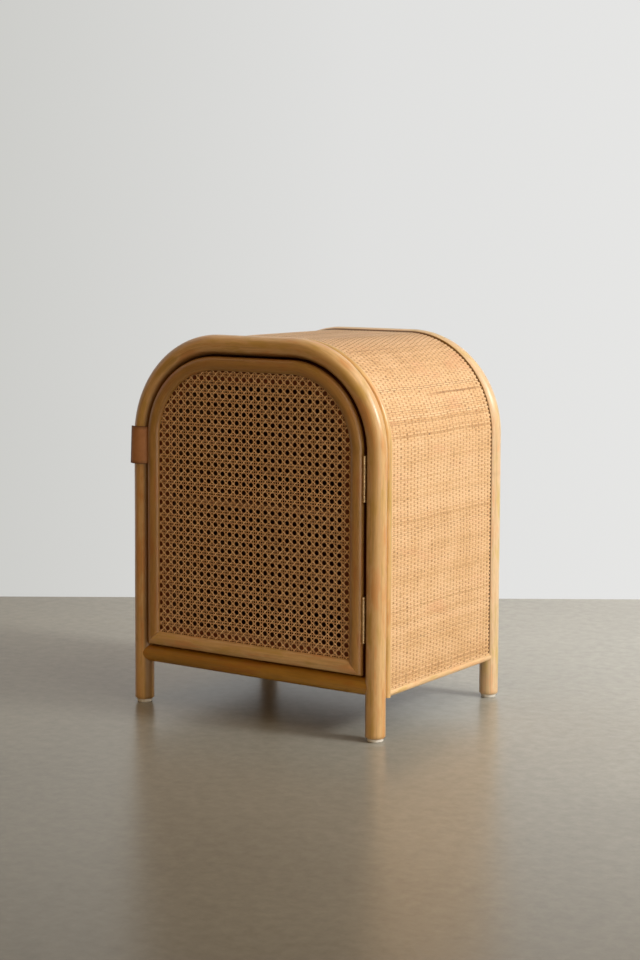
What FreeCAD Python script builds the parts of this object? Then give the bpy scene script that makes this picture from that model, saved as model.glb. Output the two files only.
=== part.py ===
"""A bedside cabinet of bent rattan poles: two arched hoops, a woven cover, a cane door and a shelf.

The frame is in millimetres, +Z up. The cabinet faces -Y and stands on z = 0, and the origin lies
on the floor midway between the four legs.
"""
import FreeCAD
import Part
import math
import os
import Sketcher

doc = FreeCAD.newDocument("rattan_cabinet")
sheet = doc.addObject("Spreadsheet::Sheet", "sizes")

DRIVING_SIZES = [
    ("overall_width", 430, "across the two legs of a hoop"),
    ("overall_depth", 344, "from the front of the front hoop to the back of the back hoop"),
    ("overall_height", 545, "floor to the top of the hoops"),
    ("pole_diameter", 28, "rattan pole of the hoops"),
    ("corner_radius", 137, "bend of a hoop, at the middle of the pole"),
    ("pole_chamfer", 2, "cut round the foot of each leg"),
    ("glide_height", 5, "plastic glide under each leg"),
    ("glide_diameter", 22, "plastic glide under each leg"),
    ("glide_chamfer", 1.2, "cut round the glide's lower edge"),
    ("nail_diameter", 2.5, "shank of the glide nail"),
    ("nail_head", 7, "diameter of the glide nail's head"),
    ("nail_recess", 1.5, "how far the nail's head is sunk above the floor"),
    ("nail_length", 20, "length of the glide nail"),
    ("rail_diameter", 25, "round front and back rails"),
    ("rail_height", 74.5, "middle of the front and back rails above the floor"),
    ("side_rail_thickness", 18, "square side rails, across the cabinet"),
    ("side_rail_bottom", 58.5, "underside of the side rails and their trim"),
    ("dowel_diameter", 8, "dowels of the front and back rails"),
    ("dowel_length", 30, "all dowels"),
    ("dowel_bite", 9, "how far a rail's dowel enters the pole"),
    ("side_dowel_diameter", 6, "dowels of the side rails"),
    ("side_dowel_height", 66, "dowels of the side rails above the floor"),
    ("cover_inset", 6, "woven cover below the outside of the hoops"),
    ("weave_thickness", 2, "woven sheet of the cover and the back"),
    ("shell_thickness", 6, "bent plywood under the cover"),
    ("bead_radius", 5, "half-round bead behind the front hoop"),
    ("back_bead_radius", 3, "half-round bead round the back weave"),
    ("sill_height", 7, "strip that closes the back above its rail"),
    ("sill_depth", 8, "strip that closes the back above its rail"),
    ("trim_height", 8, "strip under the cover at each side"),
    ("trim_rise", 2, "how far the strip bulges"),
    ("trim_lead", 1, "how far the strip's edges stand out to the weave"),
    ("fit", 0.2, "gap round a board that is let in between others"),
    ("floor_thickness", 10, "floor board"),
    ("board_setback", 2.3, "front edge of the floor board behind the door"),
    ("shelf_thickness", 10, "shelf board"),
    ("shelf_height", 298, "underside of the shelf above the floor"),
    ("shelf_setback", 6.3, "front edge of the shelf behind the door"),
    ("cleat_size", 12, "square cleats under the shelf"),
    ("cleat_length", 260, "square cleats under the shelf"),
    ("back_thickness", 5, "back board"),
    ("door_gap", 2.5, "gap between the door and the hoop or rail round it"),
    ("door_lead", 7.7, "cane's front in front of the middle of the hoop"),
    ("moulding_width", 20, "rounded moulding round the cane"),
    ("moulding_rise", 8, "rounded moulding in front of the cane"),
    ("moulding_lip", 5, "part of the moulding that passes outside the cane"),
    ("frame_thickness", 12, "flat door frame behind the cane"),
    ("frame_width", 34, "stiles and rails of the door frame"),
    ("cane_pitch", 12.7, "spacing of the holes in the cane"),
    ("strand_width", 1.9, "one strand of cane"),
    ("strand_thickness", 0.35, "one strand of cane"),
    ("pair_spacing", 4.2, "between the middles of two paired strands"),
    ("hinge_length", 63, "butt hinges"),
    ("upper_hinge_drop", 3.5, "top of the upper hinge below the start of the hoop's bend"),
    ("lower_hinge_lift", 45.7, "bottom of the lower hinge above the foot of the door"),
    ("hinge_lead", 9.6, "hinge pin in front of the middle of the hoop"),
    ("knuckle_diameter", 4.6, "barrel of the hinges"),
    ("knuckle_clearance", 0.4, "round the barrel and between its knuckles"),
    ("leaf_thickness", 1, "hinge leaves"),
    ("leaf_width", 12.5, "hinge leaf from the pin to its back edge"),
    ("pin_diameter", 2.2, "hinge pins"),
    ("pin_clearance", 0.05, "round the hinge pins"),
    ("mortise_depth", 0.6, "seat of a hinge leaf in the door's edge"),
    ("mortise_margin", 0.5, "above and below a seat"),
    ("screw_diameter", 2.6, "shank of the small brass screws"),
    ("screw_head", 5, "head of the small brass screws"),
    ("screw_length", 11, "small brass screws"),
    ("screw_pitch", 22, "between the three screws of a leaf"),
    ("board_screw_diameter", 3.5, "shank of the screws in the boards"),
    ("board_screw_head", 7, "head of the screws in the boards"),
    ("board_screw_length", 25, "screws that hold the floor board"),
    ("cleat_screw_length", 17, "screws that hold the cleats"),
    ("board_screw_spread", 200, "between the screws along each side"),
    ("tab_height", 54.5, "leather pull tab"),
    ("tab_lift", 14.5, "top of the pull tab above the start of the hoop's bend"),
    ("tab_thickness", 3, "folded leather of the tab"),
    ("tab_standoff", 2.8, "gap between the tab and the pole behind it"),
    ("tab_overhang", 12, "end of the tab beyond the middle of the pole"),
    ("tab_root", 5.5, "flat part of the tab on the door's edge"),
    ("tab_screw_spread", 34, "between the two screws of the tab"),
    ("catch_width", 28, "magnetic catch under the shelf"),
    ("catch_depth", 18, "magnetic catch under the shelf"),
    ("catch_height", 12, "magnetic catch under the shelf"),
    ("catch_side_gap", 7, "between the catch and the cleat beside it"),
    ("catch_gap", 0.3, "between the catch and its strike plate"),
    ("catch_screw_length", 18, "screws that hold the catch"),
    ("catch_screw_spread", 18, "between the two screws of the catch"),
    ("magnet_width", 16, "magnet in the catch"),
    ("magnet_depth", 7, "magnet in the catch"),
    ("magnet_height", 8, "magnet in the catch"),
    ("strike_width", 24, "strike plate on the door"),
    ("strike_thickness", 1, "strike plate on the door"),
]
for row, (alias, number, note) in enumerate(DRIVING_SIZES, start=1):
    sheet.set(f"A{row}", alias)
    sheet.set(f"B{row}", str(number))
    sheet.set(f"C{row}", note)
    sheet.setAlias(f"B{row}", alias)
doc.recompute()


class Size:
    """A length known as a number and as the expression on the sheet that gives it."""

    def __init__(self, text, number):
        self.text = text
        self.number = number

    def joined(self, sign, other, number):
        return Size(f"({self.text} {sign} {as_size(other).text})", number)

    def __add__(self, other):
        return self.joined("+", other, self.number + as_size(other).number)

    def __sub__(self, other):
        return self.joined("-", other, self.number - as_size(other).number)

    def __mul__(self, other):
        return self.joined("*", other, self.number * as_size(other).number)

    def __truediv__(self, other):
        return self.joined("/", other, self.number / as_size(other).number)

    def __neg__(self):
        return Size(f"(-1 * {self.text})", -self.number)


def as_size(value):
    """Take a Size as it is and a plain number as a constant."""
    return value if isinstance(value, Size) else Size(repr(value), value)


def leg_of(long_side, short_side):
    """Give the second leg of a right triangle from its long side and one leg."""
    square = long_side * long_side - short_side * short_side
    return Size(f"sqrt({square.text})", math.sqrt(square.number))


size = {alias: Size(f"sizes.{alias}", sheet.get(alias)) for alias, number, note in DRIVING_SIZES}

# The poles: their radius, the middle of the legs and the top of the hoop's centre line.
pole_radius = size["pole_diameter"] / 2
leg_x = (size["overall_width"] - size["pole_diameter"]) / 2
leg_y = (size["overall_depth"] - size["pole_diameter"]) / 2
arch_top = size["overall_height"] - pole_radius
corner_radius = size["corner_radius"]
bend_start = arch_top - corner_radius

# The rails and the boards that stand on them.
rail_radius = size["rail_diameter"] / 2
rail_height = size["rail_height"]
frame_front = -(leg_y + size["door_lead"]) + size["strand_thickness"] * 4
frame_back = frame_front + size["frame_thickness"]
floor_front = frame_back + size["board_setback"]
floor_seat = rail_height + leg_of(rail_radius, leg_y + floor_front)
shelf_front = frame_back + size["shelf_setback"]
shelf_top = size["shelf_height"] + size["shelf_thickness"]

# The casing between the hoops: shell inside, weave outside it, back board behind.
shell_end = leg_y - pole_radius
weave_inside = pole_radius - size["cover_inset"] - size["weave_thickness"]
weave_outside = pole_radius - size["cover_inset"]
shell_inside = weave_inside - size["shell_thickness"]
cover_end = leg_y - leg_of(pole_radius, weave_inside)
cover_bottom = size["side_rail_bottom"] + size["trim_height"]
back_front = shell_end - size["back_thickness"]
board_back = back_front - size["fit"]
interior_half = leg_x + shell_inside

# The door: its outside follows the inside of the hoop at the door gap.
door_inset = pole_radius + size["door_gap"]
door_half = leg_x - door_inset
door_bottom = rail_height + rail_radius + size["door_gap"]
cane_front = -(leg_y + size["door_lead"])

# The hinge: pin, seat of the door leaf and seat of the leaf on the pole.
knuckle_radius = size["knuckle_diameter"] / 2
door_seat = door_half - size["mortise_depth"]
pin_x = door_seat + size["knuckle_clearance"] + knuckle_radius
pin_y = -(leg_y + size["hinge_lead"])
pole_seat = pin_x + knuckle_radius
leaf_back = pin_y + size["leaf_width"]
half_hinge = size["hinge_length"] / 2
hinge_heights = {"upper": bend_start - size["upper_hinge_drop"] - half_hinge,
                 "lower": door_bottom + size["lower_hinge_lift"] + half_hinge}
knuckle_count = 5

# The pull tab: a strap bent round the left leg at a distance from it.
tab_inner = pole_radius + size["tab_standoff"]
tab_outer = tab_inner + size["tab_thickness"]
tab_high = bend_start + size["tab_lift"]
tab_low = tab_high - size["tab_height"]
tab_middle = (tab_low + tab_high) / 2

NORMALS = {"XY_Plane": 1, "YZ_Plane": 1, "XZ_Plane": -1}
pockets = []
pieces = []


# ---- sketches -------------------------------------------------------------------------------

def place_vertex(sketch, line, end, across, up):
    """Hold one end of a line at two signed distances from the sketch's origin."""
    for kind, length in (("DistanceX", across), ("DistanceY", up)):
        if length.number < 0:
            index = sketch.addConstraint(Sketcher.Constraint(kind, line, end, -1, 1, -length.number))
            sketch.setExpression(f"Constraints[{index}]", f"-1 * {length.text}")
        else:
            index = sketch.addConstraint(Sketcher.Constraint(kind, -1, 1, line, end, length.number))
            sketch.setExpression(f"Constraints[{index}]", length.text)


def bend_between(start, end, radius):
    """Give the anticlockwise arc of a radius from start to end."""
    chord = end - start
    rise = math.sqrt(max(radius ** 2 - chord.Length ** 2 / 4, 0))
    towards_centre = FreeCAD.Vector(-chord.y, chord.x, 0).normalize()
    centre = (start + end) / 2 + towards_centre * rise
    first = math.atan2(start.y - centre.y, start.x - centre.x)
    last = math.atan2(end.y - centre.y, end.x - centre.x)
    if last < first:
        last += 2 * math.pi
    return Part.ArcOfCircle(Part.Circle(centre, FreeCAD.Vector(0, 0, 1), radius), first, last)


def outline(corners, bends=None, hollows=None, closed=True):
    """Describe a loop that runs anticlockwise through its corners.

    bends gives the radius of each side that bulges outwards and hollows of each that curves
    inwards. Side n runs from corner n to the next.
    """
    bends = bends or {}
    hollows = hollows or {}

    def draw(sketch):
        points = [FreeCAD.Vector(across.number, up.number, 0) for across, up in corners]
        count = len(corners) if closed else len(corners) - 1
        ends = []
        for side in range(count):
            start, end = points[side], points[(side + 1) % len(points)]
            if side in bends:
                line = sketch.addGeometry(bend_between(start, end, bends[side].number))
                ends.append((line, 1, 2))
            elif side in hollows:
                line = sketch.addGeometry(bend_between(end, start, hollows[side].number))
                ends.append((line, 2, 1))
            else:
                line = sketch.addGeometry(Part.LineSegment(start, end))
                ends.append((line, 1, 2))
        for side, (line, first, last) in enumerate(ends):
            if closed or side + 1 < count:
                after = ends[(side + 1) % count]
                sketch.addConstraint(Sketcher.Constraint("Coincident", line, last, after[0], after[1]))
            place_vertex(sketch, line, first, *corners[side])
        if not closed:
            place_vertex(sketch, ends[-1][0], ends[-1][2], *corners[-1])
        for side, radius in {**bends, **hollows}.items():
            line = ends[side][0]
            index = sketch.addConstraint(Sketcher.Constraint("Radius", line, radius.number))
            sketch.setExpression(f"Constraints[{index}]", radius.text)

    return draw


def rectangle(left, right, bottom, top):
    return outline([(left, bottom), (right, bottom), (right, top), (left, top)])


def arch(inset, bottom):
    """Describe the hoop's outline moved inwards by inset, closed by a flat bottom."""
    half, top, bend = leg_x - inset, arch_top - inset, corner_radius - inset
    corners = [(-half, bottom), (half, bottom), (half, top - bend), (half - bend, top),
               (bend - half, top), (-half, top - bend)]
    return outline(corners, bends={2: bend, 4: bend})


def arch_path(inset, bottom):
    """Describe the open path that climbs the right leg, crosses the top and comes down."""
    half, top, bend = leg_x - inset, arch_top - inset, corner_radius - inset
    corners = [(half, bottom), (half, top - bend), (half - bend, top), (bend - half, top),
               (-half, top - bend), (-half, bottom)]
    return outline(corners, bends={1: bend, 3: bend}, closed=False)


def circle(across, up, radius):
    def draw(sketch):
        middle = FreeCAD.Vector(across.number, up.number, 0)
        line = sketch.addGeometry(Part.Circle(middle, FreeCAD.Vector(0, 0, 1), radius.number))
        place_vertex(sketch, line, 3, across, up)
        index = sketch.addConstraint(Sketcher.Constraint("Radius", line, radius.number))
        sketch.setExpression(f"Constraints[{index}]", radius.text)

    return draw


def sketch_on(body, plane, level, *drawings):
    """Add a sketch to the body, parallel to one of its origin planes at a level."""
    sketch = body.newObject("Sketcher::SketchObject", f"{body.Name}_sketch")
    support = next(part for part in body.Origin.OriginFeatures if part.Role == plane)
    sketch.AttachmentSupport = [(support, "")]
    sketch.MapMode = "FlatFace"
    signed = level if NORMALS[plane] > 0 else -level
    sketch.setExpression("AttachmentOffset.Base.z", signed.text)
    for drawing in drawings:
        drawing(sketch)
    return sketch


# ---- features -------------------------------------------------------------------------------

def new_body(name):
    body = doc.addObject("PartDesign::Body", name)
    body.Label = name
    body.AllowCompound = True
    return body


def add_pad(body, plane, start, end, *drawings):
    """Add what the drawings enclose, from start to end along the plane's axis."""
    pad = body.newObject("PartDesign::Pad", f"{body.Name}_pad")
    pad.Profile = sketch_on(body, plane, start, *drawings)
    pad.setExpression("Length", (end - start).text)
    pad.Reversed = NORMALS[plane] < 0
    return pad


def add_pocket(body, plane, start, end, *drawings):
    """Cut away what the drawings enclose, from start to end along the plane's axis."""
    pocket = body.newObject("PartDesign::Pocket", f"{body.Name}_pocket")
    pocket.Profile = sketch_on(body, plane, start, *drawings)
    pocket.setExpression("Length", (end - start).text)
    pocket.Reversed = NORMALS[plane] > 0
    pockets.append(pocket)
    return pocket


def add_sweep(body, level, section, plane_level, path):
    """Carry a section, drawn flat at the foot of the path, along a path parallel to the front."""
    sweep = body.newObject("PartDesign::AdditivePipe", f"{body.Name}_sweep")
    sweep.Profile = sketch_on(body, "XY_Plane", level, section)
    sweep.Spine = (sketch_on(body, "XZ_Plane", plane_level, path), [])
    return sweep


def padded(name, plane, start, end, *drawings):
    body = new_body(name)
    add_pad(body, plane, start, end, *drawings)
    return body


def chamfer_foot(body, level, amount):
    """Chamfer the edges that lie at the foot of a body."""
    doc.recompute()
    before = body.Tip
    rims = [f"Edge{number}" for number, edge in enumerate(before.Shape.Edges, start=1)
            if abs(edge.BoundBox.ZMax - level) < 1e-6]
    chamfer = body.newObject("PartDesign::Chamfer", f"{body.Name}_chamfer")
    chamfer.Base = (before, rims)
    chamfer.setExpression("Size", amount.text)
    body.Tip = chamfer


def cut_by(name, base, *tools):
    """Make the piece that is left of base once the tools are taken out of it."""
    for tool in tools:
        cut = doc.addObject("Part::Cut", f"{name}_cut")
        cut.Base = base
        cut.Tool = tool
        base = cut
    return base


def rod(name, axis, start, across, radius, length):
    """Make a round rod that lies along one axis, from start onwards."""
    bar = doc.addObject("Part::Cylinder", name)
    bar.setExpression("Radius", radius.text)
    bar.setExpression("Height", length.text)
    turns = {"x": (FreeCAD.Vector(0, 1, 0), 90), "y": (FreeCAD.Vector(1, 0, 0), -90),
             "z": (FreeCAD.Vector(0, 0, 1), 0)}
    bar.Placement.Rotation = FreeCAD.Rotation(*turns[axis])
    others = [letter for letter in "xyz" if letter != axis]
    bar.setExpression(f"Placement.Base.{axis}", start.text)
    for letter, place in zip(others, across):
        bar.setExpression(f"Placement.Base.{letter}", place.text)
    return bar


def compound(name, members):
    group = doc.addObject("Part::Compound", name)
    group.Links = members
    return group


def mirrored(name, source, normal):
    """Make the piece that is source's mirror image across a plane through the origin."""
    image = doc.addObject("Part::Mirroring", name)
    image.Source = source
    image.Normal = normal
    return image


def keep(name, piece):
    """Name a finished piece and list it for export."""
    piece.Label = name
    pieces.append(piece)
    return piece


LEFT_TO_RIGHT = FreeCAD.Vector(1, 0, 0)
FRONT_TO_BACK = FreeCAD.Vector(0, 1, 0)
POINTING = {
    "down": FreeCAD.Rotation(),
    "up": FreeCAD.Rotation(FreeCAD.Vector(1, 0, 0), 180),
    "right": FreeCAD.Rotation(FreeCAD.Vector(0, 1, 0), -90),
    "left": FreeCAD.Rotation(FreeCAD.Vector(0, 1, 0), 90),
    "front": FreeCAD.Rotation(FreeCAD.Vector(1, 0, 0), -90),
}


# ---- fasteners ------------------------------------------------------------------------------

def countersunk(name, shank_radius, head_radius, length):
    """Make one screw that hangs from z = 0, with a cone for its head."""
    head_depth = head_radius - shank_radius
    body = new_body(name)
    corners = [(as_size(0.0), -length), (shank_radius, -length + shank_radius),
               (shank_radius, -head_depth), (head_radius, as_size(0.0)), (as_size(0.0), as_size(0.0))]
    section = sketch_on(body, "XZ_Plane", as_size(0.0), outline(corners))
    turned = body.newObject("PartDesign::Revolution", f"{name}_turned")
    turned.Profile = section
    turned.ReferenceAxis = (section, ["V_Axis"])
    turned.Angle = 360
    return body


def scattered(name, pattern, direction, places):
    """Put a copy of the pattern at each place, pointing one way, in one group."""
    links = []
    for number, place in enumerate(places, start=1):
        link = doc.addObject("App::Link", f"{name}_{number}")
        link.LinkedObject = pattern
        link.LinkTransform = False
        link.Placement.Rotation = POINTING[direction]
        for letter, where in zip("xyz", place):
            link.setExpression(f"Placement.Base.{letter}", where.text)
        links.append(link)
    return compound(name, links)


small_screw = countersunk("small_screw", size["screw_diameter"] / 2, size["screw_head"] / 2,
                          size["screw_length"])
board_screw = countersunk("board_screw", size["board_screw_diameter"] / 2,
                          size["board_screw_head"] / 2, size["board_screw_length"])
cleat_screw = countersunk("cleat_screw", size["board_screw_diameter"] / 2,
                          size["board_screw_head"] / 2, size["cleat_screw_length"])
catch_screw = countersunk("catch_screw", size["screw_diameter"] / 2, size["screw_head"] / 2,
                          size["catch_screw_length"])

leaf_middle = (pin_y + knuckle_radius + leaf_back + size["knuckle_clearance"]) / 2
screw_heights = [height + size["screw_pitch"] * step
                 for height in hinge_heights.values() for step in (-1, 0, 1)]
hinge_frame_screws = scattered(
    "hinge_frame_screws", small_screw, "right",
    [(pole_seat - size["leaf_thickness"], leaf_middle, height) for height in screw_heights])
hinge_door_screws = scattered(
    "hinge_door_screws", small_screw, "left",
    [(door_seat + size["leaf_thickness"], leaf_middle, height) for height in screw_heights])

side_rail_middle = interior_half - size["side_rail_thickness"] / 2
board_spread = size["board_screw_spread"] / 2
floor_board_screws = scattered(
    "floor_board_screws", board_screw, "down",
    [(side_rail_middle * side, board_spread * end, floor_seat + size["floor_thickness"])
     for side in (-1, 1) for end in (-1, 1)])
cleat_face = interior_half - size["cleat_size"]
cleat_middle = size["shelf_height"] - size["cleat_size"] / 2
left_cleat_screws = scattered(
    "left_cleat_screws", cleat_screw, "left",
    [(-cleat_face, board_spread * end, cleat_middle) for end in (-1, 1)])
cleat_screws = compound(
    "cleat_screws",
    [left_cleat_screws, mirrored("right_cleat_screws", left_cleat_screws, LEFT_TO_RIGHT)])

catch_front = frame_back + size["strike_thickness"] + size["catch_gap"]
catch_back = catch_front + size["catch_depth"]
catch_left = -cleat_face + size["catch_side_gap"]
catch_right = catch_left + size["catch_width"]
catch_centre = (catch_left + catch_right) / 2
catch_low = size["shelf_height"] - size["catch_height"]
catch_screw_line = (catch_front + size["magnet_depth"] + catch_back) / 2
catch_screws = scattered(
    "catch_screws", catch_screw, "up",
    [(catch_centre + size["catch_screw_spread"] / 2 * side, catch_screw_line, catch_low)
     for side in (-1, 1)])
catch_middle = size["shelf_height"] - size["catch_height"] / 2
strike_screws = scattered(
    "strike_screws", small_screw, "front",
    [(catch_centre, frame_back + size["strike_thickness"], catch_middle)])
tab_screws = scattered(
    "tab_screws", small_screw, "right",
    [(-leg_x + tab_inner, -leg_y + size["tab_root"] / 2,
      tab_middle + size["tab_screw_spread"] / 2 * side) for side in (-1, 1)])

nails = []
for end, place_y in (("front", -leg_y), ("back", leg_y)):
    for side, place_x in (("left", -leg_x), ("right", leg_x)):
        head = rod(f"{end}_{side}_nail_head", "z", size["nail_recess"], (place_x, place_y),
                   size["nail_head"] / 2, as_size(1.0))
        shank = rod(f"{end}_{side}_nail_shank", "z", size["nail_recess"], (place_x, place_y),
                    size["nail_diameter"] / 2, size["nail_length"])
        nail = doc.addObject("Part::Fuse", f"{end}_{side}_nail")
        nail.Base = head
        nail.Tool = shank
        nails.append(nail)
glide_nails = compound("glide_nails", nails)

dowel_start = leg_x - pole_radius + size["dowel_bite"] - size["dowel_length"]
side_dowel_reach = leg_y - leg_of(pole_radius, leg_x - side_rail_middle) + size["dowel_bite"] / 2
side_dowel_start = side_dowel_reach - size["dowel_length"]
dowels = []
for end in (-1, 1):
    for side, start in ((-1, -(dowel_start + size["dowel_length"])), (1, dowel_start)):
        dowels.append(rod("rail_dowel", "x", start, (leg_y * end, rail_height),
                          size["dowel_diameter"] / 2, size["dowel_length"]))
for side in (-1, 1):
    for start in (-side_dowel_reach, side_dowel_start):
        dowels.append(rod("side_dowel", "y", start, (side_rail_middle * side, size["side_dowel_height"]),
                          size["side_dowel_diameter"] / 2, size["dowel_length"]))
rail_dowels = compound("rail_dowels", dowels)


# ---- hoops and rails ------------------------------------------------------------------------

def hoop(name, middle_y):
    """Bend one pole into a hoop with a chamfered foot at each end."""
    body = new_body(name)
    foot = size["glide_height"]
    add_sweep(body, foot, circle(leg_x, middle_y, pole_radius), middle_y, arch_path(as_size(0.0), foot))
    chamfer_foot(body, foot.number, size["pole_chamfer"])
    return body


front_hoop_body = hoop("front_hoop_body", -leg_y)
for height in hinge_heights.values():
    reach = half_hinge + size["mortise_margin"]
    add_pocket(front_hoop_body, "XZ_Plane", pin_y, -leg_y + pole_radius,
               rectangle(leg_x - pole_radius - 1, pole_seat, height - reach, height + reach))
front_hoop = cut_by("front_hoop", front_hoop_body, rail_dowels, hinge_frame_screws, glide_nails)
back_hoop = cut_by("back_hoop", hoop("back_hoop_body", leg_y), rail_dowels, glide_nails)

front_rail_body = padded("front_rail_body", "YZ_Plane", -leg_x, leg_x,
                         circle(-leg_y, rail_height, rail_radius))
for side in (-1, 1):
    add_pocket(front_rail_body, "XY_Plane", rail_height - rail_radius - 1, rail_height + rail_radius + 1,
               circle(leg_x * side, -leg_y, pole_radius))
back_rail_body = mirrored("back_rail_body", front_rail_body, FRONT_TO_BACK)
front_rail = cut_by("front_rail", front_rail_body, rail_dowels)
back_rail = cut_by("back_rail", back_rail_body, rail_dowels)

side_rail_end = leg_y - rail_radius - size["fit"]
left_side_rail_body = padded(
    "left_side_rail_body", "XZ_Plane", -side_rail_end, side_rail_end,
    rectangle(-interior_half, size["side_rail_thickness"] - interior_half,
              size["side_rail_bottom"], floor_seat))
for end in (-1, 1):
    add_pocket(left_side_rail_body, "XY_Plane", size["side_rail_bottom"] - 1, floor_seat + 1,
               circle(-leg_x, leg_y * end, pole_radius))
right_side_rail_body = mirrored("right_side_rail_body", left_side_rail_body, LEFT_TO_RIGHT)
left_side_rail = cut_by("left_side_rail", left_side_rail_body, rail_dowels, floor_board_screws)
right_side_rail = cut_by("right_side_rail", right_side_rail_body, rail_dowels, floor_board_screws)

for name, piece in (("front_hoop", front_hoop), ("back_hoop", back_hoop), ("front_rail", front_rail),
                    ("back_rail", back_rail), ("left_side_rail", left_side_rail),
                    ("right_side_rail", right_side_rail), ("rail_dowels", rail_dowels)):
    keep(name, piece)


# ---- glides ---------------------------------------------------------------------------------

for end, place_y in (("front", -leg_y), ("back", leg_y)):
    for side, place_x in (("left", -leg_x), ("right", leg_x)):
        name = f"{end}_{side}_glide"
        disc = padded(f"{name}_disc", "XY_Plane", as_size(0.0), size["glide_height"],
                      circle(place_x, place_y, size["glide_diameter"] / 2))
        chamfer_foot(disc, 0, size["glide_chamfer"])
        mouth = rod(f"{name}_mouth", "z", as_size(-1.0), (place_x, place_y), size["nail_head"] / 2,
                    size["nail_recess"] + 1)
        keep(name, cut_by(name, disc, mouth, glide_nails))
keep("glide_nails", glide_nails)


# ---- casing ---------------------------------------------------------------------------------

shell_body = padded("shell_body", "XZ_Plane", -shell_end, shell_end, arch(-weave_inside, cover_bottom))
add_pocket(shell_body, "XZ_Plane", -shell_end, shell_end, arch(-shell_inside, cover_bottom - 1))
keep("bent_shell", cut_by("bent_shell", shell_body, cleat_screws))

cover = padded("cover", "XZ_Plane", -cover_end, cover_end, arch(-weave_outside, cover_bottom))
add_pocket(cover, "XZ_Plane", -cover_end, cover_end, arch(-weave_inside, cover_bottom - 1))
keep("woven_cover", cover)


def half_round(name, inset, foot, radius, on_cover, middle_y):
    """Bend a half-round bead round the arch, flat on the cover or flat on the back weave."""
    body = new_body(name)
    x = leg_x - inset
    if on_cover:
        crown = [(x, middle_y - radius), (x + radius, middle_y), (x, middle_y + radius)]
    else:
        crown = [(x + radius, middle_y), (x, middle_y + radius), (x - radius, middle_y)]
    section = outline(crown, bends={0: radius, 1: radius})
    add_sweep(body, foot, section, middle_y, arch_path(inset, foot))
    return body


bead_y = -leg_y + leg_of(pole_radius + size["bead_radius"], weave_outside)
keep("front_bead", half_round("front_bead_body", -weave_outside, size["side_rail_bottom"],
                              size["bead_radius"], True, bead_y))

trim_edge = leg_x + weave_outside + size["trim_lead"] - size["trim_rise"] / 2
trim_bulge = (size["trim_height"] * size["trim_height"] / 4 + size["trim_rise"] * size["trim_rise"])
right_trim = padded(
    "right_trim_body", "XZ_Plane", bead_y + size["bead_radius"], leg_y,
    outline([(interior_half, size["side_rail_bottom"]), (trim_edge, size["side_rail_bottom"]),
             (trim_edge, cover_bottom), (interior_half, cover_bottom)],
            bends={1: trim_bulge / (size["trim_rise"] * 2)}))
add_pocket(right_trim, "XY_Plane", size["side_rail_bottom"] - 1, cover_bottom + 1,
           circle(leg_x, leg_y, pole_radius))
keep("right_trim", right_trim)
keep("left_trim", mirrored("left_trim_mirror", right_trim, LEFT_TO_RIGHT))

back_board = padded("back_board_body", "XZ_Plane", back_front, shell_end,
                    arch(size["fit"] - shell_inside, floor_seat))
keep("back_board", back_board)
weave_back = shell_end + size["weave_thickness"]
back_weave_inset = leg_of(pole_radius, leg_y - weave_back)
keep("back_weave", padded("back_weave_body", "XZ_Plane", shell_end, weave_back,
                          arch(back_weave_inset, floor_seat)))
sill_top = floor_seat + size["sill_height"]
back_sill = padded("back_sill_body", "XY_Plane", floor_seat, sill_top,
                   rectangle(-leg_x, leg_x, weave_back, weave_back + size["sill_depth"]))
add_pocket(back_sill, "YZ_Plane", -leg_x, leg_x, circle(leg_y, rail_height, rail_radius))
for side in (-1, 1):
    add_pocket(back_sill, "XY_Plane", floor_seat, sill_top, circle(leg_x * side, leg_y, pole_radius))
keep("back_sill", back_sill)
back_bead_inset = leg_of(pole_radius + size["back_bead_radius"], leg_y - weave_back)
keep("back_bead", half_round("back_bead_body", back_bead_inset, sill_top, size["back_bead_radius"],
                             False, weave_back))


# ---- floor, shelf and catch -----------------------------------------------------------------

def board(name, front, low, high):
    """Make a board that fills the casing, cut round the two front legs."""
    half = interior_half - size["fit"]
    body = padded(name, "XY_Plane", low, high, rectangle(-half, half, front, board_back))
    for side in (-1, 1):
        add_pocket(body, "XY_Plane", low - 1, high + 1,
                   circle(leg_x * side, -leg_y, pole_radius + size["fit"]))
    return body


floor_body = board("floor_body", floor_front, floor_seat, floor_seat + size["floor_thickness"])
keep("floor_board", cut_by("floor_board", floor_body, floor_board_screws))
keep("floor_board_screws", floor_board_screws)
shelf_body = board("shelf_body", shelf_front, size["shelf_height"], shelf_top)
keep("shelf", cut_by("shelf", shelf_body, catch_screws))

cleat_half = size["cleat_length"] / 2
left_cleat_body = padded(
    "left_cleat_body", "XZ_Plane", -cleat_half, cleat_half,
    rectangle(-interior_half, -cleat_face, size["shelf_height"] - size["cleat_size"], size["shelf_height"]))
left_cleat = cut_by("left_shelf_cleat", left_cleat_body, left_cleat_screws)
keep("left_shelf_cleat", left_cleat)
keep("right_shelf_cleat", mirrored("right_cleat_mirror", left_cleat, LEFT_TO_RIGHT))
keep("cleat_screws", cleat_screws)

catch_body = padded("catch_body", "XY_Plane", catch_low, size["shelf_height"],
                    rectangle(catch_left, catch_right, catch_front, catch_back))
magnet_half = size["magnet_width"] / 2
magnet_back = catch_front + size["magnet_depth"]
magnet_low = catch_middle - size["magnet_height"] / 2
magnet_high = catch_middle + size["magnet_height"] / 2
magnet = padded("magnet_body", "XY_Plane", magnet_low, magnet_high,
                rectangle(catch_centre - magnet_half, catch_centre + magnet_half, catch_front, magnet_back))
keep("catch_housing", cut_by("catch_housing", catch_body, magnet, catch_screws))
keep("catch_magnet", magnet)
keep("catch_screws", catch_screws)


# ---- door -----------------------------------------------------------------------------------

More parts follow.
